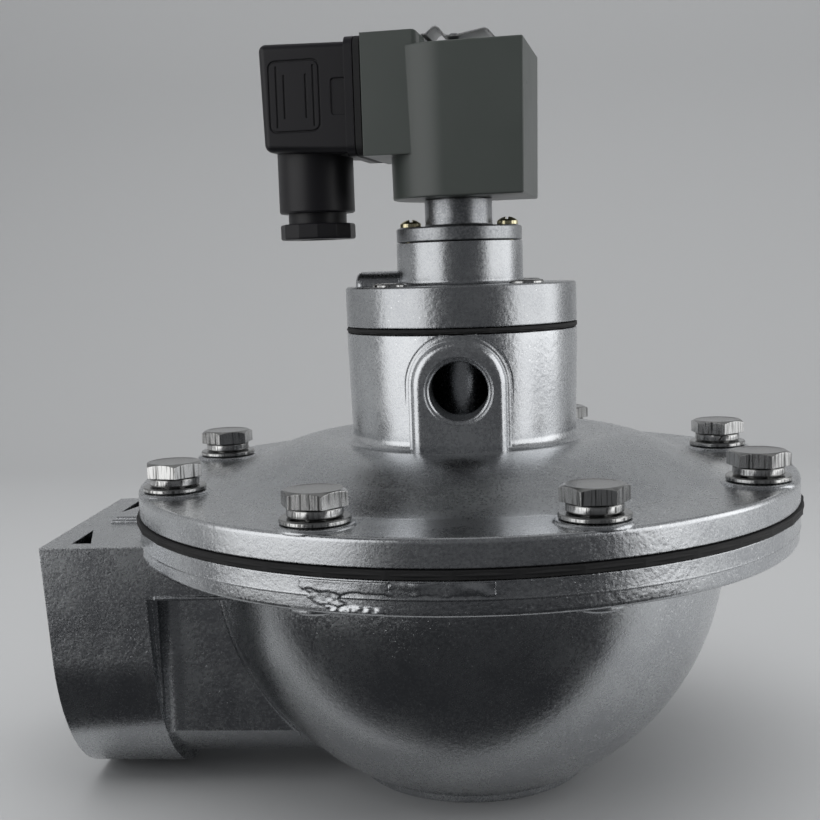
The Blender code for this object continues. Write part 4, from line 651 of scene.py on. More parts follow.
# %% [markdown]
# The inlet boss is a block with a flat top and a half-round belly. Its end leans in as it goes
# down, and its inner wall leans too: this draft lets the casting out of the die. The block's two
# lower edges get a bevel as wide as half the block, and the end faces are turned a few degrees.

# %% Body: inlet boss
BOSS_END = -105.0
BOSS_INNER = -79.2
BOSS_HALF = 33.1
BOSS_TOP = 66.7
BELLY_Z = 37.9
BELLY_LOW = 1.1


def boss_shape(name, end, inner, half):
    """A block with a flat top and a half-round belly that is a little flatter than round."""
    obj = block(name, (end, -half, BELLY_Z - BOSS_HALF), (inner, half, BOSS_TOP))
    bevel(obj, half - 0.02, 20,
          lambda points: all(p.z < BELLY_Z - 30 for p in points) and along(0)(points))
    taper(obj, (1, 1, (BELLY_Z - BELLY_LOW) / BOSS_HALF), (0, 0, BELLY_Z),
          lambda points: points[0].z < BELLY_Z)
    return obj


boss = boss_shape("inlet_boss", BOSS_END, BOSS_INNER, BOSS_HALF)
for wall, lean in ((BOSS_END, 0.060), (BOSS_INNER, 0.050)):
    edit(boss)
    pick("VERT", lambda points: abs(points[0].x - wall) < 0.01)
    bpy.ops.transform.rotate(value=math.atan(lean), orient_axis="Y",
                             center_override=(wall * MM, 0, BOSS_TOP * MM))
    done()
low_end = min((v.co for v in boss.data.vertices), key=lambda co: co.z)
print("lowest point of the boss: x in mm:", round(low_end.x * 1000, 2))

# %% [markdown]
# The top of the boss has two three-cornered pockets that save metal, and two low ridges between
# them. The neck behind the boss has flat cheeks on a round belly, and a slab joins it to the
# flange. A quarter round of 4.5 mm eases the cheeks into the boss.

# %% Body: neck, slab and fillets
NECK_HALF = 24.5
CHEEK_ROUND = 4.5
CHEEK_ROUND_X = -77.0
SLAB_LOW = 53.3
INLET_Z = 35.0
neck = spun("neck", [(0, 30), (PORT_OUTER_R, 30), (PORT_OUTER_R, 85), (0, 85)], 96)
lay_down(neck, "-X", (0, 0, INLET_Z))
combine(neck, block("cheeks", (-90, -NECK_HALF, 0), (-20, NECK_HALF, 60)), "INTERSECT")
combine(neck, block("neck_web", (-84, -NECK_HALF, INLET_Z), (-30, NECK_HALF, 60)))
slab = block("slab", (-82, -BOSS_HALF, SLAB_LOW), (-45, BOSS_HALF, BOSS_TOP))
round_x, round_y = CHEEK_ROUND_X + CHEEK_ROUND, NECK_HALF + CHEEK_ROUND
for side in (-1, 1):
    strip = block("cheek_round", (-79.5, NECK_HALF - 1, 16.6), (round_x, round_y, SLAB_LOW + 1))
    hollow = spun("cheek_round_cutter", [(0, 0), (CHEEK_ROUND, 0), (CHEEK_ROUND, 70), (0, 70)], 48)
    cut(strip, settle(hollow, (round_x, round_y, 0)))
    combine(strip, boss_shape("fillet_limit", -83, -60, BOSS_HALF - 0.1), "INTERSECT")
    if side < 0:
        select_only(strip)
        bpy.ops.transform.mirror(constraint_axis=(False, True, False))
        bpy.ops.object.transform_apply(location=True, rotation=True, scale=True)
        face_outward(strip)
    combine(neck, strip)
for piece in (boss, slab, neck):
    combine(body, piece)
print("body with inlet:", len(body.data.polygons), "faces")

# %% [markdown]
# A thin raised line follows the edge where each cheek meets the bowl. It is a slim ring round the
# bowl's centre, cut off where it would run on over the bowl. A fine lip runs along the slab's lower
# edge on each side.

# %% Body: trim lines, ridges and pockets
BEAD_R = 0.95
POCKET_FLOOR = 61.0
for side in (-1, 1):
    bead = primitive(
        "cheek_bead", bpy.ops.mesh.primitive_torus_add,
        major_radius=math.sqrt(BOWL_R ** 2 - NECK_HALF ** 2) * MM, minor_radius=BEAD_R * MM,
        major_segments=160, minor_segments=12, rotation=(math.pi / 2, 0, 0),
        location=(0, side * (NECK_HALF - 0.1) * MM, BOWL_Z * MM))
    cut_away(bead, (-43, 0, 0), (1, 0, 0))
    cut_away(bead, (0, 0, 60), (0, 0, 1))
    combine(body, bead)

    edge_y = side * BOSS_HALF
    lip = block("slab_lip", (-76.5, edge_y - 0.45, SLAB_LOW - 0.1),
                (-50.0, edge_y + 0.45, SLAB_LOW + 0.9))
    bevel(lip, 0.3, 2, lambda points: all(abs(p.y) > BOSS_HALF for p in points))
    combine(body, lip)

for y in (-2.2, 2.2):
    ridge = block("boss_ridge", (-96.5, y - 0.7, BOSS_TOP - 1), (-88.5, y + 0.7, BOSS_TOP + 0.8))
    bevel(ridge, 0.6, 3, lambda points: all(p.z > BOSS_TOP for p in points))
    combine(body, ridge)

for side in (-1, 1):
    pocket = primitive("boss_pocket", bpy.ops.mesh.primitive_circle_add,
                       vertices=3, radius=MM, fill_type="NGON")
    corners = [(-98.4, side * 28.1), (-93.4, side * 28.1), (-98.4, side * 11.6)]
    for vertex, (x, y) in zip(pocket.data.vertices, corners):
        vertex.co = (x * MM, y * MM, POCKET_FLOOR * MM)
    edit(pocket)
    bpy.ops.mesh.select_all(action="SELECT")
    bpy.ops.mesh.extrude_region_move(TRANSFORM_OT_translate={"value": (0, 0, 10 * MM)})
    face_outward(pocket)
    cut(body, pocket)
print("body with trim:", len(body.data.polygons), "faces")

# %% [markdown]
# The melt ran into the die at the front of the flange. Where the runner was broken off, the rim
# keeps a smooth raised sheet with a wavy outline, a tongue below it and a few low lumps. The scar
# starts as a flat grid that is laid on the rim: each point stands out or sinks below the skin by a
# wavy rule, and the sheet gets a thickness that reaches into the rim.

# %% Body: gate scar on the rim
SCAR_FROM, SCAR_TO = -35.0, 10.0
SCAR_LOW, SCAR_HIGH = 63.6, 70.5
SCAR_SINK = 0.25


def ease(inside):
    """0 outside an outline and 1 from 0.5 mm inside it on, with a soft shoulder."""
    part = min(max(inside / 0.5, 0.0), 1.0)
    return part * part * (3.0 - 2.0 * part)


def scar_height(s, z):
    """How far the scar stands out of the rim, in mm, at s along the rim and z up."""
    broad = noise.noise(Vector((0.22 * s, 0.40 * z, 3.0)))
    fine = noise.noise(Vector((0.90 * s, 1.10 * z, 7.0)))
    side = 2.2 * noise.noise(Vector((0.8 * z, 1.0, 1.0)))
    brim = 1.1 * noise.noise(Vector((0.28 * s, 2.0, 2.0)))
    sheet = ease(s + 33.0 - side) * ease(side - 12.6 - s) * ease(z - 67.6 - brim)
    tongue = ease(s + 31.0 + side) * ease(-23.2 - side - s) * ease(z - 64.9 - brim)
    scrape = ease(s + 27.0) * ease(-14.0 - s) * ease(65.2 + brim - z)
    lumps = ease(s + 13.0) * ease(9.0 - s) * ease(z - 67.3 - brim)
    height = max(sheet * (0.34 + 0.10 * broad), tongue * (0.26 + 0.12 * broad + 0.05 * fine))
    height = max(height, scrape * (0.07 + 0.20 * fine), lumps * (0.12 + 0.36 * broad))
    covered = max(sheet, tongue, scrape, lumps)
    return height - SCAR_SINK * (1.0 - covered)


scar = primitive("gate_scar", bpy.ops.mesh.primitive_grid_add,
                 x_subdivisions=220, y_subdivisions=34, size=2)
for vertex in scar.data.vertices:
    u, v = vertex.co.x + 1, vertex.co.y + 1
    s = SCAR_FROM + u / 2 * (SCAR_TO - SCAR_FROM)
    z = SCAR_LOW + v / 2 * (SCAR_HIGH - SCAR_LOW)
    on_edge = min(u, 2 - u, v, 2 - v) < 0.001
    reach = FLANGE_R + (-SCAR_SINK if on_edge else scar_height(s, z))
    around = s / FLANGE_R
    vertex.co = (reach * math.sin(around) * MM, -reach * math.cos(around) * MM, z * MM)
thick = scar.modifiers.new("thickness", "SOLIDIFY")
thick.thickness = 1.2 * MM
thick.offset = -1.0
select_only(scar)
bpy.ops.object.modifier_apply(modifier=thick.name)
face_outward(scar)
reaches = [math.hypot(v.co.x, v.co.y) * 1000 for v in scar.data.vertices]
print("scar from", round(min(reaches), 2), "to", round(max(reaches), 2), "mm from the axis")
combine(body, scar)
print("body with scar:", len(body.data.polygons), "faces")

# %% [markdown]
# Inside, the body is hollow: the pressure chamber surrounds a tube that carries the valve seat, and
# both ports are bored and threaded. The threads are plain bores here. Round lumps under the flange
# back up the bolt threads.

# %% Body: nubs, chamber, ports and bolt holes
CHAMBER_WALL = 5.0
COUNTERBORE_R = 25.4
MOUTH = 103.1
BOLT_HOLE_R = 4.25
BOLTS = ring_of(8, 76.6, 22.5)
for x, y in BOLTS:
    nub = spun("thread_nub", [(0, 61.35), (5.6, 61.35), (6.2, 61.95), (6.2, 64), (0, 64)], 40)
    combine(body, settle(nub, (x, y, 0)))

inner = BOWL_R - CHAMBER_WALL
tube_r = BORE_R + CHAMBER_WALL
floor_z = BOWL_Z - math.sqrt(inner ** 2 - tube_r ** 2)
start = math.degrees(math.atan2(floor_z - BOWL_Z, tube_r))
section = [(0, SEAT_Z), (BORE_R + 2.2, SEAT_Z), (tube_r, SEAT_Z - 4.4)]
section += arc(0, BOWL_Z, inner, start, 0, 20) + [(inner, 72), (0, 72)]
cut(body, spun("chamber", section, 96))
port = [(0, -1), (COUNTERBORE_R, -1), (COUNTERBORE_R, 0), (THREAD_R, 1.5), (THREAD_R, 22),
        (BORE_R, 24), (BORE_R, 68), (0, 68)]
cut(body, spun("outlet_bore", port, 96))
port = [(0, 108), (COUNTERBORE_R, 108), (COUNTERBORE_R, MOUTH), (THREAD_R, MOUTH - 1.5),
        (THREAD_R, MOUTH - 22), (BORE_R, MOUTH - 24), (BORE_R, 32), (0, 32)]
inlet = lay_down(spun("inlet_bore", port, 96), "-X", (0, 0, INLET_Z))
cut(body, inlet)
over_boss = [(x, y) for x, y in BOLTS if x <= -BOWL_R and abs(y) <= BOSS_HALF]
drill(body, [place for place in BOLTS if place not in over_boss], BOLT_HOLE_R, 60, 72)
drill(body, over_boss, BOLT_HOLE_R, 61.8, 72)
hand_over(body, "valve", "cast_aluminium", BODY_SKIN, "valve_body")

# %% [markdown]
# The cover is a second casting: a flat rim, a shallow dome, and the pilot body in its middle. The
# dome starts with a crease at the rim, sweeps up and levels out at the crown.

# %% Cover: rim, dome and pilot body
COVER_LOW = 73.15
RIM_TOP = 79.45
DOME_R = 68.0
CROWN_R = 38.0
CROWN_H = 9.6
DOME_SWEEP = 7.2
PILOT_R = 30.0
PILOT_TOP = 116.6
PILOT_FOOT = 29.4
PILOT_FOOT_Z = 88.25
COVER_WALL = 6.0


def dome_height(radius):
    t = (radius - CROWN_R) / (DOME_R - CROWN_R)
    return RIM_TOP + CROWN_H * (1 - 3 * t ** 2 + 2 * t ** 3) + DOME_SWEEP * (t ** 2 - t ** 3)


section = [(61, COVER_LOW), (FLANGE_R - 0.2, COVER_LOW), (FLANGE_R, COVER_LOW + 0.2)]
section += arc(FLANGE_R - 1.1, RIM_TOP - 1.1, 1.1, 0, 90, 5)
slope = [DOME_R + (CROWN_R - DOME_R) * i / 28 for i in range(29)]
section += [(r, dome_height(r)) for r in slope]
section += arc(PILOT_FOOT + 2.4, PILOT_FOOT_Z + 2.4, 2.4, 270, 180, 6)
section += [(PILOT_R, 113.5), (PILOT_R, PILOT_TOP - 0.2), (PILOT_R - 0.2, PILOT_TOP)]
section += [(18.5, PILOT_TOP), (18.5, 94.6), (9.5, 94.6), (9.5, 111.4), (7.7, 113.4)]
section += [(6.5, 113.4), (6.5, 83.4), (22, 83.4)]
section += [(r, dome_height(max(r, CROWN_R)) - COVER_WALL) for r in (35, 41.5, 48, 54)]
section += [(59, 77.2), (61, COVER_LOW)]
cover = spun("top_cover_casting", section, 192)
print("cover:", len(cover.data.polygons), "faces")

# %% [markdown]
# The exhaust pad is an arch on the front of the pilot body, with a soft edge and a fine groove
# round it. The groove is cut first with a slightly bigger arch that only reaches the outer skin.

# %% Cover: exhaust pad
PAD_HALF = 11.6
ARCH_Z = 104.2
PAD_FACE = -31.0
EXHAUST_Z = 103.1


def arch(name, half, front, back, foot):
    """A block whose top is one half round: both upper edges are bevelled by half its width."""
    obj = block(name, (-half, front, foot), (half, back, ARCH_Z + half))
    bevel(obj, half - 0.01, 20,
          lambda points: all(p.z > ARCH_Z + 1 for p in points) and along(1)(points))
    return obj


def shell(inner_r, outer_r, low, high):
    """A thin turned tube, to keep only what lies in the pilot body's skin."""
    section = [(inner_r, low), (outer_r, low), (outer_r, high), (inner_r, high), (inner_r, low)]
    return spun("skin_shell", section, 192)


groove = arch("pad_groove", PAD_HALF + 1.5, -34, -20, 90.3)
combine(groove, shell(29.62, 33, 89, 120), "INTERSECT")
cut(cover, groove)
lip = arch("pad_lip", PAD_HALF + 0.7, -34, -20, 88.0)
combine(lip, shell(27, 30.15, 87, 120), "INTERSECT")
combine(cover, lip)
pad = arch("exhaust_pad", PAD_HALF, PAD_FACE, -21.5, 86.0)
bevel(pad, 2.3, 5, lambda points: all(p.y < PAD_FACE + 0.05 for p in points)
      and any(p.z > 86.5 for p in points))
combine(cover, pad)
hole = [(0, 34), (8.3, 34), (8.3, 31.0), (8.15, 30.7), (7.5, 30.6), (7.1, 30.2), (7.1, 14), (0, 14)]
exhaust = lay_down(spun("exhaust_bore", hole, 64), "-Y", (0, 0, EXHAUST_Z))
cut(cover, exhaust)
print("cover with pad:", len(cover.data.polygons), "faces")

# %% [markdown]
# Each bolt sits on a low round seat with a soft shoulder. Then the bolt holes and the holes for the
# lid's screws are drilled.

# %% Cover: bolt seats and holes
SCREW_HOLE_R = 2.75
seat = [(0, 79), (8.9, 79), (8.9, 79.45), (8.65, 79.85), (8.3, 80.1), (7.8, 80.2), (0, 80.2)]
for x, y in BOLTS:
    combine(cover, settle(spun("bolt_seat", seat, 48), (x, y, 0)))
drill(cover, BOLTS, 4.5, 72, 81)
LID_SCREWS = ring_of(4, 24.0, 45.0)
drill(cover, LID_SCREWS, SCREW_HOLE_R, 107, 118, 20)
hand_over(cover, "valve", "cover_aluminium", COVER_SKIN, "top_cover")

# %% [markdown]
# Each diaphragm shows only its rim: a black line of rubber that stands slightly proud between the
# castings. The solid stays, and a smooth bead covers its edge.

# %% Diaphragm rims
for name, radius, inner_r, z, half in (("main_diaphragm_rim", 85.98, 84.0, 72.0, 0.95),
                                       ("pilot_diaphragm_rim", 30.1, 28.9, 117.4, 0.58)):
    section = [(inner_r, z - half), (radius - 0.35, z - half)]
    section += arc(radius - 0.35, z, 0.35, -60, 60, 4)
    section += [(radius - 0.35, z + half), (inner_r, z + half), section[0]]
    hand_over(spun(name, section, 192), "valve", "diaphragm_rubber", RUBBER)

# %% [markdown]
# The lid closes the pilot chamber. It is cast with a turret in the middle and a half-round rib on
# the left that holds the bleed passage, and then turned on top. Four slotted screws sit in it.

# %% Pilot lid
LID_LOW = 118.2
LID_TOP = 128.3
TURRET_R = 16.4
TURRET_TOP = 139.1
RIB_R = 5.0
STEM_SCREW_X = 12.6
STEM_SCREWS = [(-STEM_SCREW_X, 0), (STEM_SCREW_X, 0)]
section = [(18.5, LID_LOW), (PILOT_R - 0.2, LID_LOW), (PILOT_R, LID_LOW + 0.2)]
section += [(PILOT_R, LID_TOP - 0.4), (PILOT_R - 0.4, LID_TOP)]
section += arc(TURRET_R + 1.2, LID_TOP + 1.2, 1.2, 270, 180, 5)
section += [(TURRET_R, TURRET_TOP), (9.2, TURRET_TOP), (9.2, 137.5), (7.0, 137.5), (7.0, TURRET_TOP)]
section += [(6.2, TURRET_TOP), (6.2, 130.2), (3.2, 130.2), (2.4, 131.4), (1.0, 131.4), (1.0, 125.0)]
section += [(8.5, 125.0), (8.5, 121.9), (18.5, 121.9), (18.5, LID_LOW)]
lid = spun("pilot_lid_casting", section, 160)
rib = spun("bleed_rib", [(0, 14), (RIB_R, 14), (RIB_R, 25.4)] + arc(3.2, 25.4, 1.8, 0, 90, 5)
           + [(0, 27.2)], 48)
lay_down(rib, "-X", (0, 0, LID_TOP + 3.9 - RIB_R))
cut_away(rib, (0, 0, 125.3), (0, 0, -1))
combine(lid, rib)
drill(lid, LID_SCREWS, SCREW_HOLE_R, 117, 130, 20)
drill(lid, LID_SCREWS, 4.75, 126.05, 130, 32)
drill(lid, STEM_SCREWS, 1.75, 133, 140, 20)
hand_over(lid, "valve", "machined_aluminium", PILOT_SKIN, "pilot_lid")

# %% [markdown]
# A slotted screw is turned from bar, and its slot is sawn. The screws in the lid have cheese
# heads, and those on the stem have small domed heads.

# %% Screws
def slotted_screw(name, section, slot_w, slot_low, head_r, turn):
    screw = spun(name, section, 40)
    saw = block("saw", (-head_r - 1, -slot_w / 2, slot_low), (head_r + 1, slot_w / 2, slot_low + 5))
    cut(screw, settle(saw, (0, 0, 0), turn))
    return screw


section = [(0, 109.3), (2.2, 109.3), (2.5, 109.9), (2.5, 126.3), (4.25, 126.3), (4.25, 128.7)]
section += [(4.0, 129.05), (3.2, 129.2), (0, 129.28)]
for number, ((x, y), turn) in enumerate(zip(LID_SCREWS, (20, 75, 38, -12)), 1):
    screw = slotted_screw(f"lid_screw_head_{number}", section, 1.2, 128.3, 4.25, turn)
    hand_over(settle(screw, (x, y, 0)), "valve", "zinc_steel", ZINC, f"lid_screw_{number}")

section = [(0, 134.25), (1.3, 134.25), (1.5, 134.6), (1.5, 143.25), (2.75, 143.25), (2.75, 144.2)]
section += arc(0, 141.6, 3.75, 44, 90, 8)
for number, (x, turn) in enumerate(((STEM_SCREW_X, 84), (-STEM_SCREW_X, 100)), 1):
    screw = slotted_screw(f"stem_screw_head_{number}", section, 0.8, 144.6, 2.75, turn)
    hand_over(settle(screw, (x, 0, 0)), "valve", "yellow_zinc_steel", YELLOW_ZINC,
              f"stem_screw_{number}")

# %% [markdown]
# The stem is the armature tube: a flange that two screws hold on the turret, a neck, and a thin
# tube that runs up through the coil and ends in a pin for the clip.

# %% Stem
STEM_TOP = 143.0
NECK_R = 8.75
section = [(5.1, 139.35), (16.1, 139.35), (16.3, 139.55), (16.3, 142.6), (15.9, STEM_TOP)]
section += arc(NECK_R + 1.0, STEM_TOP + 1.0, 1.0, 270, 180, 4)
section += [(NECK_R, 150.0), (6.75, 150.0), (6.75, 188.25), (1.6, 188.25), (1.6, 190.1), (1.1, 190.1)]
section += [(1.1, 191.1), (1.6, 191.1), (1.6, 191.35), (1.0, 191.95), (0, 191.95), (0, 172.35)]
section += [(5.1, 172.35), (5.1, 139.35)]
stem = spun("stem_turned", section, 96)
drill(stem, STEM_SCREWS, 2.0, 138, 145, 20)
hand_over(stem, "valve", "machined_aluminium", STEM_SKIN, "armature_tube")

# %% [markdown]
# The coil is a moulded block: square on the right, half round on the left, and a little narrower
# at the bottom so that it leaves the mould. Its terminal block stands proud of the top.

# %% Coil
COIL_LOW = 150.25
COIL_TOP = 187.65
PLUG_SCREW_Z = 176.25


def drill_from_left(obj, near, far):
    """The plug screw's hole along X, from one distance left of the axis to another."""
    section = [(0, near), (1.75, near), (1.75, far), (0, far)]
    bit = lay_down(spun("screw_hole", section, 20), "-X", (0, 0, PLUG_SCREW_Z))
    cut(obj, bit)


coil = block("coil_moulding", (-17.4, -16.8, COIL_LOW), (19.6, 16.8, COIL_TOP))
bevel(coil, 16.75, 28, lambda points: all(p.x < -17 for p in points) and along(2)(points))
taper(coil, (1 - 0.6 / 18.2, 1 - 0.6 / 16.8, 1), (1.1, 0, 0),
      lambda points: points[0].z < COIL_LOW + 1)
bevel(coil, 0.45, 3, lambda points: all(p.x > 18 for p in points)
      or all(p.z > COIL_TOP - 0.1 for p in points) or all(p.z < COIL_LOW + 0.1 for p in points))
head = block("terminal_block", (-21.5, -14.0, 161.15), (-6.4, 14.0, 191.35))
bevel(head, 2.0, 5, lambda points: all(p.x > -7 for p in points)
      and (along(2)(points) or all(p.z > 190 for p in points)))
combine(coil, head)
cut(coil, block("clip_well", (-9.0, -6.7, COIL_TOP), (-5.4, 6.7, 193)))
drill(coil, [(0, 0)], 7.0, 149, 193, 64)
drill_from_left(coil, 14.5, 23)
for y, z, half_y, half_z in ((0, PLUG_SCREW_Z + 8, 3.4, 0.7), (0, PLUG_SCREW_Z - 8, 3.4, 0.7),
                             (8, PLUG_SCREW_Z, 0.7, 3.4)):
    socket = block("blade_socket", (-22.5, y - half_y, z - half_z), (-18.5, y + half_y, z + half_z))
    cut(coil, socket)
dimple = primitive("dimple", bpy.ops.mesh.primitive_uv_sphere_add, segments=24, ring_count=12,
                   radius=0.8 * MM, location=(20.1 * MM, -8.6 * MM, 177.4 * MM))
cut(coil, dimple)
hand_over(coil, "coil", "coil_resin", RESIN, "coil")

# %% [markdown]
# The clip is one strip of spring steel, bent over the stem's pin. It is walked as a line of
# points, widened by an extrusion, and given its thickness with a Solidify modifier.

# %% Coil clip
CLIP_W = 10.8
CLIP_THICK = 0.5
bends = [(-7.8, 0.3), (-7.8, 3.0), (-7.4, 3.5), (-6.2, 3.5), (-4.6, 4.9), (-3.9, 5.2), (-3.3, 4.8),
         (-1.8, 2.75), (1.8, 2.75), (8.6, 3.9), (9.3, 3.6), (10.6, 2.1), (12.1, 0.5)]
clip = walk("coil_clip_strip", [(x, -CLIP_W / 2, COIL_TOP + z) for x, z in bends])
bpy.ops.mesh.extrude_region_move(TRANSFORM_OT_translate={"value": (0, CLIP_W * MM, 0)})
face_outward(clip)
solidify = clip.modifiers.new("thickness", "SOLIDIFY")
solidify.thickness = CLIP_THICK * MM
solidify.offset = 1.0
bpy.ops.object.modifier_apply(modifier=solidify.name)
heights = [v.co.z * 1000 - COIL_TOP for v in clip.data.vertices]
print("clip from", round(min(heights), 2), "to", round(max(heights), 2), "mm above the coil")
drill(clip, [(0, 0)], 1.3, 189, 192, 20)
cut(clip, block("clip_slot", (-1.2, 0, 189), (1.2, 7, 192)))
hand_over(clip, "coil", "spring_steel", SPRING, "coil_clip", smooth=20.0)

# %% [markdown]
# The square plug is a hollow nylon moulding that one screw holds on the coil, with a rubber gasket
# between. Its cheek has a bare framed panel with four fine grooves and a latch recess. The lower
# barrel takes the cable through a gland nut.

# %% Plug: gasket and housing
PLUG_LOW, PLUG_HIGH = 161.35, 191.15
PLUG_HALF = 14.0
RIM_X = -23.6
HOUSING_X = -25.8
END_X = -48.5
GLAND_X = -38.0
gasket = block("plug_gasket", (-23.35, -PLUG_HALF, PLUG_LOW), (-21.75, PLUG_HALF, PLUG_HIGH))
bevel(gasket, 3.0, 6, along(0))
cut(gasket, block("gasket_window", (-25, -11.7, 164.5), (-20, 11.7, 188.0)))
hand_over(gasket, "coil", "diaphragm_rubber", RUBBER, "connector_gasket")

housing = block("plug_housing", (END_X, -13.5, PLUG_LOW + 0.8),
                (HOUSING_X + 0.5, 13.5, PLUG_HIGH - 1.3))
shift(housing, (0, 0, 0.6), lambda points: points[0].x < END_X + 1 and points[0].z > PLUG_HIGH - 2)
shift(housing, (0.7, 0, 1.2), lambda points: points[0].x < END_X + 1 and points[0].z < PLUG_LOW + 1)
bevel(housing, 1.9, 5, lambda points: all(p.x < END_X + 1 for p in points) or along(0, 10)(points))
rim = block("plug_rim", (HOUSING_X, -PLUG_HALF, PLUG_LOW), (RIM_X, PLUG_HALF, PLUG_HIGH))
bevel(rim, 3.0, 6, along(0))
combine(housing, rim)
section = [(0, 142.5), (7.3, 142.5), (7.7, 142.9), (7.7, 148.0), (9.6, 148.0), (10.0, 148.4),
           (10.0, 165), (0, 165)]
combine(housing, settle(spun("gland_barrel", section, 64), (GLAND_X, 0, 0)))
print("plug housing:", len(housing.data.polygons), "faces")

# %% [markdown]
# The panel's frame and grooves are cut into both cheeks with thin blocks, 0.3 mm deep. The middle
# of the panel is left bare.

# %% Plug: panel, latch recess and hollow
PANEL_Z = 176.9
for side in (-1, 1):
    skin_low, skin_high = sorted((side * 13.2, side * 15.0))
    frame_cut = block("panel_frame", (-45.9, skin_low, 167.9), (-32.3, skin_high, 186.0))
    bevel(frame_cut, 2.0, 5, along(1))
    core = block("panel_core", (-45.45, skin_low - 1, 168.35), (-32.75, skin_high + 1, 185.55))
    bevel(core, 1.7, 5, along(1))
    cut(frame_cut, core)
    cut(housing, frame_cut)
    for x, half in ((-43.7, 7.6), (-41.7, 5.4), (-36.0, 5.4), (-34.0, 7.6)):
        slit = block("panel_groove", (x - 0.25, skin_low, PANEL_Z - half),
                     (x + 0.25, skin_high, PANEL_Z + half))
        cut(housing, slit)
    recess_low, recess_high = sorted((side * 13.1, side * 15.0))
    latch = block("latch_recess", (-29.6, recess_low, 171.8), (HOUSING_X, recess_high, 180.9))
    bevel(latch, 0.8, 3, lambda points: along(1)(points) and all(p.x < -29 for p in points))
    cut(housing, latch)
cut(housing, block("plug_hollow", (-46.3, -11.3, 165.55), (-22, 11.3, 187.65)))
drill(housing, [(GLAND_X, 0)], 6.6, 141, 166.5, 48)
drill_from_left(housing, 44, 50)
hand_over(housing, "coil", "plug_nylon", NYLON, "connector_housing")

# %% [markdown]
# The gland nut has flats for the fingers, a chamfered lip, and a hole for the cable with a rubber
# grommet behind it. No cable is fitted.

# %% Plug: gland nut and grommet
NUT_LOW, NUT_HIGH = 141.1, 145.2
NUT_R = 9.9
CABLE_R = 4.6
nut = primitive("gland_nut_moulding", bpy.ops.mesh.primitive_cylinder_add, vertices=12,
                radius=NUT_R * MM, depth=(NUT_HIGH - NUT_LOW) * MM,
                location=(0, 0, (NUT_LOW + NUT_HIGH) / 2 * MM))
bevel(nut, 0.5, 2, lambda points: abs(points[0].z - points[1].z) < 0.1)
hollow = [(0, 140), (5.0, 140), (5.0, NUT_LOW), (CABLE_R, NUT_LOW + 0.4), (CABLE_R, NUT_LOW + 1.0),
          (7.9, NUT_LOW + 1.0), (7.9, NUT_HIGH + 1), (0, NUT_HIGH + 1)]
cut(nut, spun("nut_hollow", hollow, 48))
settle(nut, (GLAND_X, 0, 0), 15)
hand_over(nut, "coil", "plug_nylon", NYLON, "gland_nut", smooth=20.0)
section = [(CABLE_R, 142.75), (6.35, 142.75), (6.35, 146.35), (4.9, 146.35), (CABLE_R, 146.05),
           (CABLE_R, 142.75)]
grommet = settle(spun("gland_grommet_rubber", section, 48), (GLAND_X, 0, 0))
hand_over(grommet, "coil", "diaphragm_rubber", RUBBER, "gland_grommet")

# %% [markdown]
# Eight bolts hold the cover. Each has a flat washer, a split spring washer and a low hexagon head
# whose top corners are turned away. The head is a six-sided cylinder cut by a turned cone.

# %% Bolts: one of each piece
WASHER_LOW = 80.35
SPRING_LOW = 81.75
HEAD_LOW = 83.9
HEAD_H = 3.55
ACROSS_FLATS = 13.0
WASHER_HOLE_R = 4.25
head_top = HEAD_LOW + HEAD_H
bolt = primitive("bolt", bpy.ops.mesh.primitive_cylinder_add, vertices=6,
                 radius=ACROSS_FLATS / math.sqrt(3) * MM, depth=HEAD_H * MM,
                 location=(0, 0, (HEAD_LOW + HEAD_H / 2) * MM))
corner_cut = [(0, HEAD_LOW - 1), (9, HEAD_LOW - 1), (9, head_top - 1.5), (6.2, head_top),
              (5.8, head_top), (5.3, head_top - 0.12), (0, head_top - 0.12)]
combine(bolt, spun("corner_cone", corner_cut, 96), "INTERSECT")
shank = [(0, 62.3), (3.4, 62.3), (4.0, 62.9), (4.0, HEAD_LOW + 1), (0, HEAD_LOW + 1)]
combine(bolt, spun("shank", shank, 32))
section = [(WASHER_HOLE_R, WASHER_LOW), (7.5, WASHER_LOW), (7.75, WASHER_LOW + 0.25),
           (7.75, WASHER_LOW + 0.85), (7.5, WASHER_LOW + 1.15), (WASHER_HOLE_R, WASHER_LOW + 1.15),
           (WASHER_HOLE_R, WASHER_LOW)]
flat = spun("washer", section, 64)
print("bolt:", len(bolt.data.polygons), "faces, washer:", len(flat.data.polygons))

# %% [markdown]
# The split washer is a spun ring with a narrow gap, twisted a little so that the cut runs aslant.

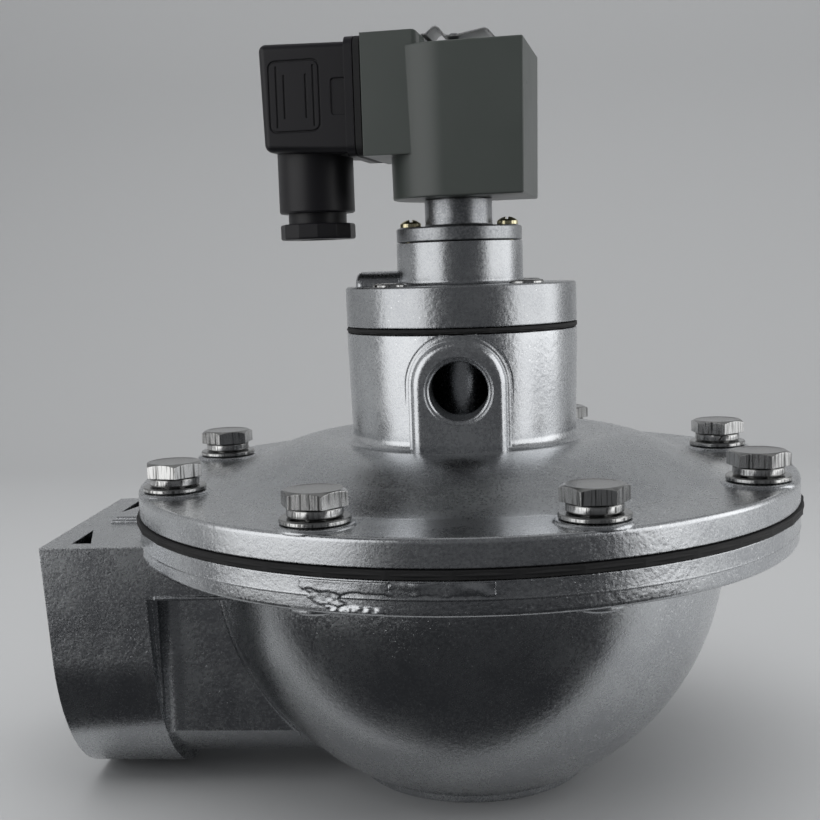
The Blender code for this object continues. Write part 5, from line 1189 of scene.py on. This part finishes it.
# %% Bolts: split washer
GAP = 6.0
SPRING_WASHER_W = 1.85
SPRING_WASHER_H = 1.9
split = primitive("split_washer", bpy.ops.mesh.primitive_plane_add, size=1)
edit(split)
bpy.ops.mesh.select_all(action="SELECT")
bpy.ops.transform.rotate(value=math.pi / 2, orient_axis="X", center_override=(0, 0, 0))
bpy.ops.transform.resize(value=(SPRING_WASHER_W * MM, 1, SPRING_WASHER_H * MM))
bpy.ops.transform.translate(value=((WASHER_HOLE_R + SPRING_WASHER_W / 2) * MM, 0,
                                   (SPRING_LOW + SPRING_WASHER_H / 2) * MM))
bpy.ops.mesh.bevel(offset=0.35 * MM, segments=2, affect="VERTICES")
bpy.ops.mesh.select_all(action="SELECT")
bpy.ops.mesh.spin(steps=56, angle=math.radians(360 - GAP), center=(0, 0, 0), axis=(0, 0, 1))
ends = bmesh.from_edit_mesh(split.data)
bmesh.ops.holes_fill(ends, edges=[edge for edge in ends.edges if edge.is_boundary])
bmesh.update_edit_mesh(split.data)
bpy.ops.mesh.select_all(action="SELECT")
bpy.ops.mesh.remove_doubles(threshold=1e-6)
face_outward(split)
slant = split.modifiers.new("slanted_ends", "SIMPLE_DEFORM")
slant.deform_method = "TWIST"
slant.deform_axis = "Z"
slant.angle = math.radians(13)
bpy.ops.object.modifier_apply(modifier=slant.name)
print("split washer:", len(split.data.polygons), "faces")

# %% [markdown]
# The pieces are copied to the eight places. Each head and each split came to rest at its own turn
# when it was tightened.

# %% Bolts: all eight
HEAD_TURNS = (5.8, 27.0, 12.0, -4.8, 16.6, 20.5, 33.8, 13.3)
SPLIT_AT = (60.0, 100.0, 40.0, 150.0, -84.0, -112.0, -30.0, -78.6)
for number, ((x, y), head_turn, split_at) in enumerate(zip(BOLTS, HEAD_TURNS, SPLIT_AT), 1):
    head = settle(copied(bolt, f"bolt_{number}_zinc"), (x, y, 0), head_turn)
    hand_over(head, "valve", "zinc_steel", ZINC, f"flange_bolt_{number}")
    ring = settle(copied(flat, f"washer_{number}_zinc"), (x, y, 0))
    hand_over(ring, "valve", "zinc_steel", ZINC, f"flat_washer_{number}")
    spring = settle(copied(split, f"split_washer_{number}_zinc"), (x, y, 0), split_at)
    hand_over(spring, "valve", "zinc_steel", ZINC, f"spring_washer_{number}")
for piece in (bolt, flat, split):
    bpy.data.objects.remove(piece, do_unlink=True)
